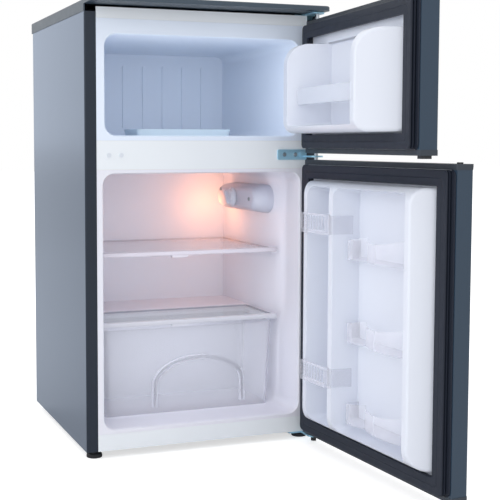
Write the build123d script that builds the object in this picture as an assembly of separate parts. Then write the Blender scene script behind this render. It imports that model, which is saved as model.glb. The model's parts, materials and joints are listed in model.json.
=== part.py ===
import os

from build123d import *

os.makedirs("parts", exist_ok=True)

# Millimetres. X runs to the hinge side, Y to the back, Z up. Y = 0 is the front flange, Z = 0 the floor.

# cabinet body
cabinet_width = 470.0
cabinet_depth = 430.0
side_height = 813.0
foot_height = 15.0
sheet = 1.0
shell_bend = 2.2
flange_width = 22.0
joint_gap = 0.2
rail_sheet = 1.2
rail_return = 16.0
pan_sheet = 1.5
pan_lip = 12.0
rear_inset = 1.0

# worktop
worktop_height = 22.0
worktop_wall = 2.5
worktop_side_overhang = 1.0
worktop_front_overhang = 58.0
worktop_rear_overhang = 18.0
worktop_nose = 9.0
worktop_corner = 12.0
worktop_edge = 3.0

# levels of the front joints and openings
apron_height = 31.0
mid_rail_bottom = 541.0
mid_rail_height = 53.0
top_rail_drop = 11.0
top_rail_height = 20.0
liner_lap = 8.0
freezer_floor_lap = 10.0
freezer_top_lap = 29.0

# compartments
liner_wall = 2.0
lip_roll = 4.0
lip_flare = 2.0
open_corner = 22.0
back_corner = 16.0
fridge_wall = 35.0
fridge_taper = 7.0
rear_insulation = 54.0
freezer_wall = 39.0
freezer_taper = 8.0
freezer_rear_insulation = 58.0
ceiling_draft = 4.0
hump_insulation = 39.0
hump_roof = 33.6
hump_corner = 10.0
rib_count = 7
rib_pitch = 46.0
rib_width = 9.0
rib_height = 2.4
rib_margin = 24.0

# machine space behind the hump
machine_depth = 154.0
machine_roof = 205.0

# doors
door_thickness = 31.5
door_stand_off = 13.5
door_edge_gap = 0.5
door_skin_sheet = 0.8
skin_return = 14.0
cap_height = 9.0
cap_floor = 2.5
cap_wall = 2.4
cap_boss = 8.0
cap_lip = 0.6
cap_corner = 3.0
door_floor_gap = 4.0
door_gap = 13.0
door_top_gap = 4.5
gasket_inset = 9.5
gasket_width = 25.5
gasket_base_inset = 2.0
gasket_neck = 4.0
gasket_clearance = 0.3
gasket_swing_gap = 0.15
gasket_corner = 8.0
gasket_inner_corner = 2.0
plate_gap = 0.2
plug_radius = 5.0
plug_head = 2.5
plug_stem = 6.5
stop_width = 20.0
stop_depth = 16.0
stop_height = 5.0
fridge_open_angle = 93.2
freezer_open_angle = 84.8

# hinges
pin_inset = 15.0
pin_setback = 30.0
pin_radius = 4.0
pin_clearance = 0.05
pin_engage = 7.0
pin_tip_gap = 0.5
hinge_plate = 3.0
hinge_arm_width = 26.0
hinge_arm_nose = 10.4
hinge_arm_round = 9.0
hinge_edge_gap = 2.0
mid_plate_width = 62.0
mid_plate_height = 20.0
mid_plate_inset = 22.0
mid_plate_corner = 3.0
mid_recess_left = 5.0
mid_recess_right = 14.0
mid_recess_edge = 4.0
mid_recess_corner = 2.0
mid_screw_left = 14.9
mid_screw_right = 38.4
mid_arm_drop = 3.5
top_plate_depth = 52.0
top_plate_joggle = 8.0
top_joggle_lap = 2.0
top_screw_edge = 12.0
top_screw_back = 30.0
top_screw_left = 16.0
top_screw_mid = 6.0
top_screw_right = 4.0
bottom_plate_width = 54.0
bottom_plate_depth = 10.0
bottom_tab_width = 18.0
bottom_tab_depth = 28.0
bottom_screw_y = 18.0
hinge_nut_radius = 6.0
hinge_nut_height = 9.0
screw_head_radius = 4.2
screw_head_height = 2.2
screw_radius = 2.0
screw_play = 0.05
screw_length = 10.0

# fridge door liner
dike_side = 2.0
dike_round = 6.0
fridge_dike_reach = 30.0
fridge_dike_low_gap = 5.0
fridge_dike_high_gap = 14.0
fridge_low_round = 34.0
fridge_high_round = 26.0
fridge_dike_free_draft = 25.0
fridge_dike_hinge_draft = 36.0
pocket_depth = 22.0
pocket_draft = 7.0
pocket_corner = 6.0
can_pocket_hinge_wall = 14.0
can_pocket_width = 76.0
divider_wall = 14.0
free_wall = 13.0
pocket_end_wall = 8.0
can_rack_reach = 9.0
can_rack_height = 37.0
can_rack_wall = 2.0
can_rack_upper = 425.0
can_rack_lower = 147.0
can_rack_bars = 7
can_rack_bar = 2.4
can_rack_corner = 4.0
can_rack_base = 4.0
can_rack_lap = 8.0
can_rack_hook = 8.0
retainer_low_level = 89.0
retainer_mid_level = 236.0
retainer_high_level = 384.0
retainer_height = 40.0
retainer_wave = 12.0
retainer_fall = 9.0
retainer_crown = 3.0
retainer_sag = 3.0
retainer_wall = 2.4
retainer_reach = 20.0
retainer_low = 4.0
retainer_dip = 8.0
retainer_step = 3.0
retainer_split = 0.34
retainer_floor = 2.0
retainer_clear = 0.3

# freezer door liner
freezer_dike_reach = 60.0
freezer_dike_low_gap = 4.0
freezer_dike_high_gap = 16.0
freezer_low_round = 22.0
freezer_high_round = 40.0
freezer_dike_free_inset = 5.0
freezer_dike_hinge_inset = 4.0
freezer_dike_hinge_draft = 30.0
freezer_dike_free_draft = 38.0
freezer_ear_hinge = 21.0
freezer_ear_free = 15.0
freezer_ledge = 12.0
freezer_ledge_slope = 4.0
freezer_pocket_draft = 14.0
rail_bar_lift = 52.0
rail_bar_height = 30.0
rail_bar_depth = 9.0
rail_bar_wall = 2.5
rail_bar_corner = 5.0
rail_bar_setback = 18.0
rail_bar_clear = 0.3

# fridge fittings
shelf_side_gap = 4.0
shelf_front = 80.0
shelf_glass = 4.0
ledge_top = 371.0
ledge_height = 6.0
ledge_lap = 5.0
ledge_front = 96.0
shelf_rear_gap = 6.0
shelf_rest = 0.3
trim_depth = 11.0
trim_wall = 2.4
grip_width = 34.0
grip_drop = 4.0
grip_offset = -20.0
grip_corner = 2.0
cover_ledge_top = 234.0
cover_rear_gap = 2.0
drawer_side_gap = 2.0
drawer_front = 84.0
drawer_rear_gap = 4.0
drawer_wall = 2.4
drawer_top_gap = 3.0
drawer_draft = 8.0
drawer_corner = 12.0
arch_half = 98.0
arch_centre = 20.0
arch_spring = 112.0
arch_rise = 56.0
arch_lip = 9.0
arch_depth = 6.0
arch_foot = 14.0
tray_length = 200.0
tray_depth = 92.0
tray_height = 20.0
tray_front = 110.0
tray_wall = 1.6
tray_draft = 4.0
tray_corner = 8.0
tray_rim = 4.0
tray_recess = 6.0
tray_cells = 7
tray_rows = 2
tray_floor_gap = 0.3
sill_drop = 7.0
sill_run = 12.0

# thermostat and lamp housing on the hinge-side wall
housing_rear_gap = 36.0
housing_length = 228.0
housing_height = 62.0
housing_level = 474.0
housing_depth = 40.0
housing_wall = 2.0
housing_taper = 10.0
housing_flat = 0.5
housing_sink = 5.0
lamp_opening = 44.0
boss_radius = 4.5
housing_seat = 0.1
housing_front_screw = 34.0
housing_rear_screw = 40.0
housing_screw_rise = 15.0
knob_radius = 21.0
knob_thickness = 9.0
knob_gap = 0.4
knob_grip = 7.0
knob_grip_half = 18.0
knob_round = 2.0
knob_grip_rise = 9.0
knob_end_gap = 108.0
knob_shaft_radius = 4.0
thermostat_size = (24.0, 36.0, 30.0)
lamp_radius = 11.0
lamp_length = 46.0
lamp_base_radius = 7.0
lamp_base_length = 18.0
lamp_holder_wall = 3.0
lamp_holder_lap = 2.0
lamp_end_gap = 4.0
lamp_seat = 4.0
lamp_sink = 16.8
lamp_arm = 4.0
lamp_arm_half = 6.0

# feet
front_foot_radius = 14.5
front_foot_pad = 8.0
front_foot_collar = 9.0
front_foot_chamfer = 2.0
foot_stud_radius = 4.0
foot_stud_length = 14.0
foot_stud_room = 1.0
foot_top_gap = 0.2
foot_side_inset = 21.0
front_foot_y = 24.0
rear_foot_radius = 10.0
rear_foot_taper = 2.0
rear_foot_inset = 82.0

# sealed system
compressor_radius = 62.0
compressor_height = 118.0
compressor_x = -48.0
compressor_rear = 78.0
compressor_seat = 12.0
compressor_foot_half = 76.0
compressor_foot_depth = 44.0
compressor_foot_sheet = 3.0
compressor_foot_corner = 10.0
compressor_stud_inset = 12.0
grommet_radius = 9.0
stud_rise = 6.0
relay_size = (34.0, 46.0, 58.0)
relay_wrap = 8.0
relay_lift = 8.0
relay_corner = 5.0
inlet_radius = 7.0
inlet_length = 8.0
inlet_inset = 13.0
seam_width = 4.0
seam_height = 4.0
dome_height = 26.0
dome_round = 14.0
shell_chamfer = 18.0
tray_pan_height = 20.0
tray_pan_half = 62.0
tray_pan_depth = 104.0
tray_pan_wall = 2.0
tray_pan_draft = 4.0
tray_pan_corner = 10.0
tube_radius = 3.2
tube_bend = 10.0
tube_play = 1.0
capillary_radius = 1.2
condenser_tube = 2.4
condenser_runs = 11
condenser_pitch = 47.0
condenser_side_gap = 49.0
condenser_lift = 80.0
condenser_stand_off = 9.0
wire_radius = 0.8
wire_count = 15
wire_gap = 0.02
clip_width = 14.0
clip_height = 16.0
evaporator_margin = 38.0
evaporator_height = 118.0
evaporator_sheet = 1.6
evaporator_corner = 12.0
port_inset = 16.0
suction_port = 88.0
discharge_port = 36.0
suction_x = 118.0
suction_rear = 28.0
drier_radius = 8.0
drier_length = 84.0
drier_drop = 24.0
liquid_rise = 12.0
discharge_inset = 6.0
drier_out = 10.0
drier_inset = 22.0
wire_overrun = 12.0

# derived places
half_width = cabinet_width / 2
panel_top = foot_height + side_height
total_height = panel_top + worktop_height
rail_half = half_width - flange_width - joint_gap
pan_top = foot_height + pan_sheet
rear_face = cabinet_depth - rear_inset
screw_hole = screw_radius + screw_play

apron_top = foot_height + apron_height
mid_rail_top = mid_rail_bottom + mid_rail_height
top_rail_bottom = panel_top - top_rail_drop
top_rail_top = top_rail_bottom + top_rail_height
fridge_open_bottom = apron_top + liner_lap
fridge_open_top = mid_rail_bottom - liner_lap
freezer_open_bottom = mid_rail_top + freezer_floor_lap
freezer_open_top = top_rail_bottom - freezer_top_lap
freezer_floor = freezer_open_bottom - sill_drop

fridge_open_half = half_width - fridge_wall
fridge_back_half = fridge_open_half - fridge_taper
fridge_back = cabinet_depth - rear_insulation
freezer_open_half = half_width - freezer_wall
freezer_back_half = freezer_open_half - freezer_taper
freezer_back = cabinet_depth - freezer_rear_insulation
machine_wall = cabinet_depth - machine_depth
hump_front = machine_wall - hump_insulation
hump_top = machine_roof + hump_roof

mid_plate_right = half_width - mid_plate_inset
mid_plate_level = (mid_rail_bottom + mid_rail_top) / 2
gap_level = mid_plate_level - mid_arm_drop
door_half = half_width - door_edge_gap
door_back = -door_stand_off
door_face = -door_stand_off - door_thickness
hinge_x = half_width - pin_inset
hinge_y = -pin_setback
fridge_door_bottom = foot_height + door_floor_gap
fridge_door_top = gap_level - door_gap / 2
freezer_door_bottom = gap_level + door_gap / 2
freezer_door_top = panel_top - door_top_gap
fridge_dike_bottom = fridge_open_bottom + fridge_dike_low_gap
fridge_dike_top = fridge_open_top - fridge_dike_high_gap
freezer_dike_bottom = freezer_open_bottom + freezer_dike_low_gap
freezer_dike_top = freezer_open_top - freezer_dike_high_gap
rail_bar_bottom = freezer_dike_bottom + rail_bar_lift

shelf_half = fridge_back_half - shelf_side_gap
ledge_inner = shelf_half - ledge_lap
drawer_half = ledge_inner - drawer_side_gap
drawer_top = cover_ledge_top - ledge_height - drawer_top_gap
housing_front = fridge_back - housing_rear_gap - housing_length
knob_setting_y = fridge_back - housing_rear_gap - knob_end_gap
rear_foot_y = cabinet_depth - rear_foot_inset
compressor_y = cabinet_depth - compressor_rear
suction_y = cabinet_depth - suction_rear
condenser_half = half_width - condenser_side_gap
condenser_bottom = machine_roof + condenser_lift
evaporator_half = freezer_back_half - evaporator_margin
evaporator_level = (freezer_open_bottom + freezer_open_top) / 2


def block(x0, x1, y0, y1, z0, z1):
    return Pos((x0 + x1) / 2, (y0 + y1) / 2, (z0 + z1) / 2) * Box(x1 - x0, y1 - y0, z1 - z0)


def upright(rect, y):
    x0, x1, z0, z1, r = rect
    place = Plane(origin=((x0 + x1) / 2, y, (z0 + z1) / 2), x_dir=(1, 0, 0), z_dir=(0, -1, 0))
    return place * RectangleRounded(x1 - x0, z1 - z0, r)


def lofted(sections):
    return loft([upright(rect, y) for rect, y in sections], ruled=True)


def tapered(front, y0, back, y1):
    return lofted([(front, y0), (back, y1)])


def straight(rect, y0, y1):
    return tapered(rect, y0, rect, y1)


def grown(rect, d):
    x0, x1, z0, z1, r = rect
    return (x0 - d, x1 + d, z0 - d, z1 + d, max(r + d, 1.0))


def rod(x, y, z0, z1, r):
    return Pos(x, y, (z0 + z1) / 2) * Cylinder(r, z1 - z0)


def rod_x(x0, x1, y, z, r):
    return Pos((x0 + x1) / 2, y, z) * Rot(0, 90, 0) * Cylinder(r, x1 - x0)


def rod_y(x, y0, y1, z, r):
    return Pos(x, (y0 + y1) / 2, z) * Rot(90, 0, 0) * Cylinder(r, y1 - y0)


def side_profile(points, x0, x1):
    face = Plane.YZ * make_face(Polyline(*points, close=True))
    return Pos(x0, 0, 0) * extrude(face, x1 - x0)


def raised(points, z, height):
    return Pos(0, 0, z) * extrude(make_face(Polyline(*points, close=True)), height, dir=(0, 0, 1))


def near(a, b):
    return abs(a - b) < 0.01


def upright_edges(part, x, y):
    edges = part.edges().filter_by(Axis.Z)
    return [e for e in edges if near(e.center().X, x) and near(e.center().Y, y)]


def rounded_plan(x, y, z, length, depth, corner):
    return Plane(origin=(x, y, z)) * RectangleRounded(length, depth, corner)


def tube(points, bend, r):
    path = FilletPolyline(*points, radius=bend)
    return sweep(Plane(origin=path @ 0, z_dir=path % 0) * Circle(r), path)


def save(shape, node):
    export_step(shape, f"parts/{node}.step")


def group(solids):
    return Compound(children=list(solids))


# cabinet sheet work
def outer_shell():
    def side(sign):
        outer = sign * half_width
        inner = sign * (half_width - sheet)
        edge = sign * (half_width - flange_width)
        front = [(outer, 0), (edge, 0), (edge, sheet), (inner, sheet)]
        outline = [(outer, cabinet_depth)] + front + [(inner, cabinet_depth)]
        wall = raised(outline, foot_height, side_height)
        wall = fillet(upright_edges(wall, outer, 0), shell_bend)
        return fillet(upright_edges(wall, inner, sheet), shell_bend - sheet)

    x = half_width - sheet
    top = block(-x, x, rail_return, cabinet_depth, panel_top - sheet, panel_top)
    for x, y in top_screw_places():
        top -= rod(x, y, panel_top - 2 * sheet, panel_top + sheet, screw_hole)
    return side(-1) + side(1) + top


def rear_panel():
    t = sheet
    points = [
        (rear_face, panel_top - sheet - joint_gap),
        (rear_face - t, panel_top - sheet - joint_gap),
        (rear_face - t, machine_roof + t),
        (machine_wall - t, machine_roof + t),
        (machine_wall - t, pan_top),
        (machine_wall, pan_top),
        (machine_wall, machine_roof),
        (rear_face, machine_roof),
    ]
    x = half_width - sheet - joint_gap
    panel = side_profile(points, -x, x)
    for tube_x, r in ((suction_x, tube_radius), (-suction_x, capillary_radius)):
        panel -= rod(tube_x, suction_y, machine_roof - sheet, machine_roof + 2 * sheet, r + tube_play)
    return panel


def foot_x(side):
    return side * (half_width - foot_side_inset)


def base_pan():
    x = half_width - sheet - joint_gap
    front = shell_bend + joint_gap
    lip_end = machine_wall - sheet - joint_gap
    pan = block(-x, x, front, rear_face, foot_height, pan_top)
    for s in (-1, 1):
        a, b = sorted((s * x, s * (x - pan_sheet)))
        pan += block(a, b, front, lip_end, foot_height, foot_height + pan_lip)
        pan -= rod(foot_x(s), front_foot_y, 0, panel_top, foot_stud_radius + pin_clearance)
    for px, py in bottom_screw_places():
        pan -= rod(px, py, 0, panel_top, screw_hole)
    stud_top = pan_top + compressor_seat + compressor_foot_sheet + stud_rise
    for px, py in compressor_studs():
        pan += rod(px, py, foot_height, stud_top, screw_radius)
    return pan


def rail(z0, z1, top_return, bottom_return):
    x = rail_half
    part = block(-x, x, 0, rail_sheet, z0, z1)
    if top_return:
        part += block(-x, x, 0, rail_return, z1 - rail_sheet, z1)
    if bottom_return:
        part += block(-x, x, 0, rail_return, z0, z0 + rail_sheet)
    return part


def mid_screw_places():
    left = mid_plate_right - mid_plate_width
    return [(left + mid_screw_left, mid_plate_level), (left + mid_screw_right, mid_plate_level)]


def plug_places():
    return [(-x, mid_plate_level) for x, z in mid_screw_places()]


def mid_rail():
    part = rail(mid_rail_bottom, mid_rail_top, True, True)
    for x, z in mid_screw_places() + plug_places():
        part -= rod_y(x, -screw_length, screw_length, z, screw_hole)
    return part


def top_rail():
    return rail(top_rail_bottom, top_rail_top, False, True)


def bottom_screw_places():
    return [(half_width - bottom_plate_width + bottom_tab_width / 2, bottom_screw_y)]


def bottom_apron():
    return rail(foot_height, apron_top, True, False)


def worktop():
    x = half_width + worktop_side_overhang
    y0 = -worktop_front_overhang
    y1 = cabinet_depth + worktop_rear_overhang
    body = block(-x, x, y0, y1, panel_top, total_height)
    corners = [e for s in (-1, 1) for y in (y0, y1) for e in upright_edges(body, s * x, y)]
    body = fillet(corners, worktop_corner)
    rim = [e for e in body.edges() if abs(e.center().Z - total_height) < 0.01]
    body = fillet(rim, worktop_edge)
    nose = total_height - worktop_nose
    w = worktop_wall
    body -= block(-x - 1, x + 1, y0 - 1, 0, panel_top - 1, nose)
    body -= block(-x + w, x - w, -1, w + 1, panel_top - 1, nose)
    body -= block(-x + w, x - w, w, y1 - w, panel_top - 1, total_height - w)
    return body


# compartments
def fridge_front_rect():
    return (-fridge_open_half, fridge_open_half, fridge_open_bottom, fridge_open_top, open_corner)


def fridge_back_rect():
    top = fridge_open_top - ceiling_draft
    return (-fridge_back_half, fridge_back_half, fridge_open_bottom, top, back_corner)


def freezer_front_rect():
    return (-freezer_open_half, freezer_open_half, freezer_open_bottom, freezer_open_top, open_corner)


def freezer_inner_rect():
    return (-freezer_open_half, freezer_open_half, freezer_floor, freezer_open_top, open_corner)


def freezer_back_rect():
    top = freezer_open_top - ceiling_draft
    return (-freezer_back_half, freezer_back_half, freezer_floor, top, back_corner)


def hump(d):
    top = hump_top - d
    front = hump_front + d
    part = block(-half_width, half_width, front, cabinet_depth, 0, top)
    edges = part.edges().filter_by(Axis.X)
    nose = [e for e in edges if near(e.center().Y, front) and near(e.center().Z, top)]
    return fillet(nose, hump_corner)


def mouth(rect, d):
    slope = lip_flare / lip_roll
    start = 0 if d else -1
    return [(grown(rect, lip_flare + d - slope * start), start), (grown(rect, d), lip_roll)]


def fridge_space(d):
    back = [(grown(fridge_back_rect(), d), fridge_back + d)]
    return lofted(mouth(fridge_front_rect(), d) + back) - hump(d)


def freezer_space(d):
    floor = [(grown(freezer_inner_rect(), d), lip_roll + sill_run)]
    back = [(grown(freezer_back_rect(), d), freezer_back + d)]
    return lofted(mouth(freezer_front_rect(), d) + floor + back)


def wall_x(y):
    return fridge_open_half - fridge_taper * (y - lip_roll) / (fridge_back - lip_roll)


def wall_solid(depth):
    y0, y1 = 0, cabinet_depth
    far = cabinet_width
    plan = [(wall_x(y0) + depth, y0), (far, y0), (far, y1), (wall_x(y1) + depth, y1)]
    return raised(plan, 0, total_height)


def ledge(side, rear, level):
    y0, y1 = ledge_front, rear + liner_wall / 2
    part = block(ledge_inner, cabinet_width, y0, y1, level - ledge_height, level)
    part -= wall_solid(liner_wall / 2)
    return part if side > 0 else mirror(part, Plane.YZ)


def fridge_liner():
    lip = block(-rail_half, rail_half, 0, liner_wall, apron_top + joint_gap, mid_rail_bottom - joint_gap)
    part = lip + fridge_space(liner_wall) - fridge_space(0)
    for level, rear in ((ledge_top, fridge_back), (cover_ledge_top, hump_front)):
        for side in (-1, 1):
            part += ledge(side, rear, level)
    for y, z in housing_screw_places():
        r = screw_hole
        part -= block(shelf_half / 2, half_width, y - r, y + r, z - r, z + r)
    return part


def freezer_liner():
    lip = block(-rail_half, rail_half, 0, liner_wall, mid_rail_top + joint_gap, top_rail_bottom - joint_gap)
    part = lip + freezer_space(liner_wall) - freezer_space(0)
    z0 = freezer_floor + rib_margin
    z1 = freezer_open_top - ceiling_draft - rib_margin
    for i in range(rib_count):
        x = (i - (rib_count - 1) / 2) * rib_pitch
        wide = (x - rib_width / 2, x + rib_width / 2, z0, z1, rib_width * 0.45)
        slim = grown(wide, -rib_height / 2)
        part += tapered(slim, freezer_back - rib_height, wide, freezer_back + liner_wall / 2)
    return part


def evaporator():
    y0 = freezer_back + liner_wall
    z0 = evaporator_level - evaporator_height / 2
    rect = (-evaporator_half, evaporator_half, z0, z0 + evaporator_height, evaporator_corner)
    return straight(rect, y0, y0 + evaporator_sheet)


def suction_points():
    y0 = freezer_back + liner_wall + evaporator_sheet
    z0 = evaporator_level - evaporator_height / 2 + port_inset
    z1 = pan_top + compressor_seat + suction_port
    return [
        (suction_x, y0, z0),
        (suction_x, suction_y, z0),
        (suction_x, suction_y, z1),
        (suction_x, compressor_y, z1),
        (compressor_x + compressor_radius, compressor_y, z1),
    ]


def capillary_points():
    y0 = freezer_back + liner_wall + evaporator_sheet
    z0 = evaporator_level - evaporator_height / 2 + port_inset
    x, y, low, high = drier_place()
    return [
        (-suction_x, y0, z0),
        (-suction_x, suction_y, z0),
        (-suction_x, suction_y, low - drier_drop),
        (x, y, low - drier_drop),
        (x, y, low),
    ]


def suction_tube():
    return tube(suction_points(), tube_bend, tube_radius)


def tube_channel(points, r):
    return tube(points[:3], tube_bend, r + tube_play)


def cabinet_foam(cut):
    x = half_width - sheet
    foam = block(-x, x, sheet, rear_face - sheet, pan_top, panel_top - sheet)
    foam -= block(-x - 1, x + 1, machine_wall - sheet, cabinet_depth + 1, 0, machine_roof + sheet)
    foam -= fridge_space(liner_wall)
    foam -= freezer_space(liner_wall)
    foam -= block(-rail_half, rail_half, 0, liner_wall, apron_top, mid_rail_bottom)
    foam -= block(-rail_half, rail_half, 0, liner_wall, mid_rail_top, top_rail_bottom)
    foam -= block(-rail_half - joint_gap, rail_half + joint_gap, 0, rail_return, top_rail_bottom, panel_top)
    for s in (-1, 1):
        top = foot_height + foot_stud_length + foot_stud_room
        foam -= rod(foot_x(s), front_foot_y, 0, top, foot_stud_radius + foot_stud_room)
    foam -= tube_channel(suction_points(), tube_radius)
    foam -= tube_channel(capillary_points(), capillary_radius)
    for part in cut:
        foam -= part
    return foam


# hinges
def arm_plan(y_back):
    x0, x1 = hinge_x - hinge_arm_width / 2, half_width - hinge_edge_gap
    y_front = hinge_y - hinge_arm_nose
    outline = make_face(Polyline((x0, y_back), (x1, y_back), (x1, y_front), (x0, y_front), close=True))
    front = [v for v in outline.vertices() if near(v.Y, y_front)]
    return fillet(front, hinge_arm_round)


def top_hinge():
    h = hinge_plate
    seat = panel_top
    over = top_rail_top + joint_gap * 2
    points = [
        (rail_return + top_plate_depth, seat),
        (rail_return + top_plate_depth, seat + h),
        (rail_return + top_plate_joggle, seat + h),
        (rail_return, over + h),
        (hinge_y - hinge_arm_width, over + h),
        (hinge_y - hinge_arm_width, over),
        (rail_return - top_joggle_lap, over),
        (rail_return - top_joggle_lap + top_plate_joggle, seat),
    ]
    part = side_profile(points, hinge_x - hinge_arm_width, half_width - hinge_edge_gap)
    plan = extrude(arm_plan(rail_return), total_height, dir=(0, 0, 1))
    front = block(0, half_width, -cabinet_depth, rail_return, 0, total_height)
    part = (part - front) + (part & plan)
    part -= rod(hinge_x, hinge_y, 0, total_height, pin_radius)
    for x, y in top_screw_places():
        part -= rod(x, y, panel_top - screw_length, panel_top + screw_length, screw_hole)
    return part


def top_screw_places():
    y = rail_return + top_plate_depth
    front, back = y - top_screw_back, y - top_screw_edge
    left, middle, right = hinge_x - top_screw_left, hinge_x - top_screw_mid, hinge_x + top_screw_right
    return [(left, back), (right, back), (middle, front)]


def top_hinge_pin():
    top = top_rail_top + joint_gap * 2 + hinge_plate
    return rod(hinge_x, hinge_y, freezer_door_top - pin_engage, top, pin_radius)


def mid_hinge():
    h = hinge_plate
    x0, x1 = mid_plate_right - mid_plate_width, mid_plate_right
    z0, z1 = mid_plate_level - mid_plate_height / 2, mid_plate_level + mid_plate_height / 2
    plate = straight((x0, x1, z0, z1, mid_plate_corner), -h, 0)
    low, high = z0 + mid_recess_edge, z1 - mid_recess_edge
    recess = (x0 + mid_recess_left, x1 - mid_recess_right, low, high, mid_recess_corner)
    plate -= straight(recess, -h - 1, -h / 2)
    arm = Pos(0, 0, gap_level - h / 2) * extrude(arm_plan(-h / 2), h, dir=(0, 0, 1))
    part = plate + arm
    for x, z in mid_screw_places():
        part -= rod_y(x, -screw_length, screw_length, z, screw_hole)
    return part - rod(hinge_x, hinge_y, 0, total_height, pin_radius)


def mid_hinge_pin():
    return rod(hinge_x, hinge_y, fridge_door_top - pin_engage, freezer_door_bottom + pin_engage, pin_radius)


def bottom_hinge():
    z0, z1 = foot_height - hinge_plate, foot_height
    x0, x1 = half_width - bottom_plate_width, half_width - hinge_edge_gap
    part = block(x0, x1, 0, bottom_plate_depth, z0, z1)
    part += block(x0, x0 + bottom_tab_width, 0, bottom_tab_depth, z0, z1)
    part += Pos(0, 0, z0) * extrude(arm_plan(bottom_plate_depth), hinge_plate, dir=(0, 0, 1))
    for x, y in bottom_screw_places():
        part -= rod(x, y, 0, total_height, screw_hole)
    return part - rod(hinge_x, hinge_y, 0, total_height, pin_radius)


def bottom_hinge_pin():
    under = foot_height - hinge_plate
    pin = rod(hinge_x, hinge_y, under, fridge_door_bottom + pin_engage, pin_radius)
    nut = extrude(RegularPolygon(hinge_nut_radius, 6), hinge_nut_height)
    return pin + Pos(hinge_x, hinge_y, under - hinge_nut_height) * nut


def screw_y(x, z, face):
    head = rod_y(x, face - screw_head_height, face, z, screw_head_radius)
    return head + rod_y(x, face, face + screw_length, z, screw_radius)


def screw_z(x, y, face, way):
    head = sorted((face, face - way * screw_head_height))
    shank = sorted((face, face + way * screw_length))
    return rod(x, y, head[0], head[1], screw_head_radius) + rod(x, y, shank[0], shank[1], screw_radius)


def hinge_screws():
    solids = [screw_y(x, z, -hinge_plate / 2) for x, z in mid_screw_places()]
    solids += [screw_z(x, y, foot_height - hinge_plate, 1) for x, y in bottom_screw_places()]
    solids += [screw_z(x, y, panel_top + hinge_plate, -1) for x, y in top_screw_places()]
    return group(solids)


def hinge_hole_plugs():
    return group([screw_y(x, z, 0) for x, z in plug_places()])


# feet
def front_foot(side):
    x = foot_x(side)
    top = foot_height - foot_top_gap
    pad = rod(x, front_foot_y, 0, front_foot_pad, front_foot_radius)
    pad = chamfer(pad.edges().filter_by(GeomType.CIRCLE).sort_by(Axis.Z)[-1], front_foot_chamfer)
    collar = extrude(RegularPolygon(front_foot_collar, 6), top - front_foot_pad)
    stud = rod(x, front_foot_y, top, top + foot_stud_length, foot_stud_radius)
    return pad + Pos(x, front_foot_y, front_foot_pad) * collar + stud


def rear_feet():
    solids = []
    for s in (-1, 1):
        base = Plane(origin=(foot_x(s), rear_foot_y, 0)) * Circle(rear_foot_radius - rear_foot_taper)
        crown = Plane(origin=(foot_x(s), rear_foot_y, foot_height)) * Circle(rear_foot_radius)
        solids.append(loft([base, crown]))
    return group(solids)


# doors, drawn closed and then swung to the open angle
def swung(part, angle):
    return part.rotate(Axis((hinge_x, hinge_y, 0), (0, 0, 1)), angle)


def door_skin(z0, z1):
    t = door_skin_sheet
    r = door_half - skin_return
    outline = [
        (-r, door_back),
        (-door_half, door_back),
        (-door_half, door_face),
        (door_half, door_face),
        (door_half, door_back),
        (r, door_back),
        (r, door_back - t),
        (door_half - t, door_back - t),
        (door_half - t, door_face + t),
        (-door_half + t, door_face + t),
        (-door_half + t, door_back - t),
        (-r, door_back - t),
    ]
    height = z1 - z0 - 2 * cap_height
    part = raised(outline, z0 + cap_height, height)
    for s in (-1, 1):
        part = fillet(upright_edges(part, s * (door_half - t), door_face + t), cap_corner - t)
        part = fillet(upright_edges(part, s * door_half, door_face), cap_corner)
    return part


def cap_inside(z0, z1):
    w = cap_wall
    return block(-door_half + w, door_half - w, door_face + w, door_back - w, z0, z1)


def cap_bosses(z0, z1):
    return [rod(s * hinge_x, hinge_y, z0, z1, cap_boss) for s in (-1, 1)]


def door_cap(end, inward):
    x = door_half + cap_lip
    z0, z1 = sorted((end, end + inward * cap_height))
    y0, y1 = door_face - cap_lip, door_back + cap_lip
    part = block(-x, x, y0, y1, z0, z1)
    part = fillet(part.edges().filter_by(Axis.Z), cap_corner)
    a, b = sorted((end + inward * cap_floor, end + inward * (cap_height + 1)))
    part -= cap_inside(a, b)
    for boss in cap_bosses(z0, z1):
        part += boss
    a, b = sorted((end - inward, end + inward * (pin_engage + pin_tip_gap)))
    for s in (-1, 1):
        part -= rod(s * hinge_x, hinge_y, a, b, pin_radius + pin_clearance)
    return part


def bottom_cap(z0):
    return door_cap(z0, 1)


def top_cap(z1):
    return door_cap(z1, -1)


def ring(z0, z1, inset_out, inset_in, y0, y1):
    x_out, x_in = half_width - inset_out, half_width - inset_in
    outer = (-x_out, x_out, z0 + inset_out, z1 - inset_out, gasket_corner)
    inner = (-x_in, x_in, z0 + inset_in, z1 - inset_in, gasket_inner_corner)
    return straight(outer, y0, y1) - straight(inner, y0 - 1, y1 + 1)


def gasket(z0, z1):
    a, b = gasket_inset, gasket_inset + gasket_width
    third = (door_stand_off - gasket_clearance) / 3
    y1, y2 = door_back + third, door_back + 2 * third
    base = ring(z0, z1, a + gasket_base_inset, b - gasket_base_inset, door_back, y1)
    neck = ring(z0, z1, a + gasket_neck, b - gasket_neck, y1, y2)
    face = ring(z0, z1, a, b, y2, -gasket_clearance)
    reach = ((gasket_swing_gap + hinge_y) ** 2 - (gasket_clearance + hinge_y) ** 2) ** 0.5
    face -= block(hinge_x + reach, half_width, y2, 0, z0, z1)  # keeps the face inside its swing
    return base + neck + face


def plug_stem_at(z, up):
    a, b = sorted((z, z - up * plug_stem))
    return rod(-hinge_x, hinge_y, a, b, pin_radius)


def round_plug(z, up):
    a, b = sorted((z, z + up * plug_head))
    return rod(-hinge_x, hinge_y, a, b, plug_radius) + plug_stem_at(z, up)


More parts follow.
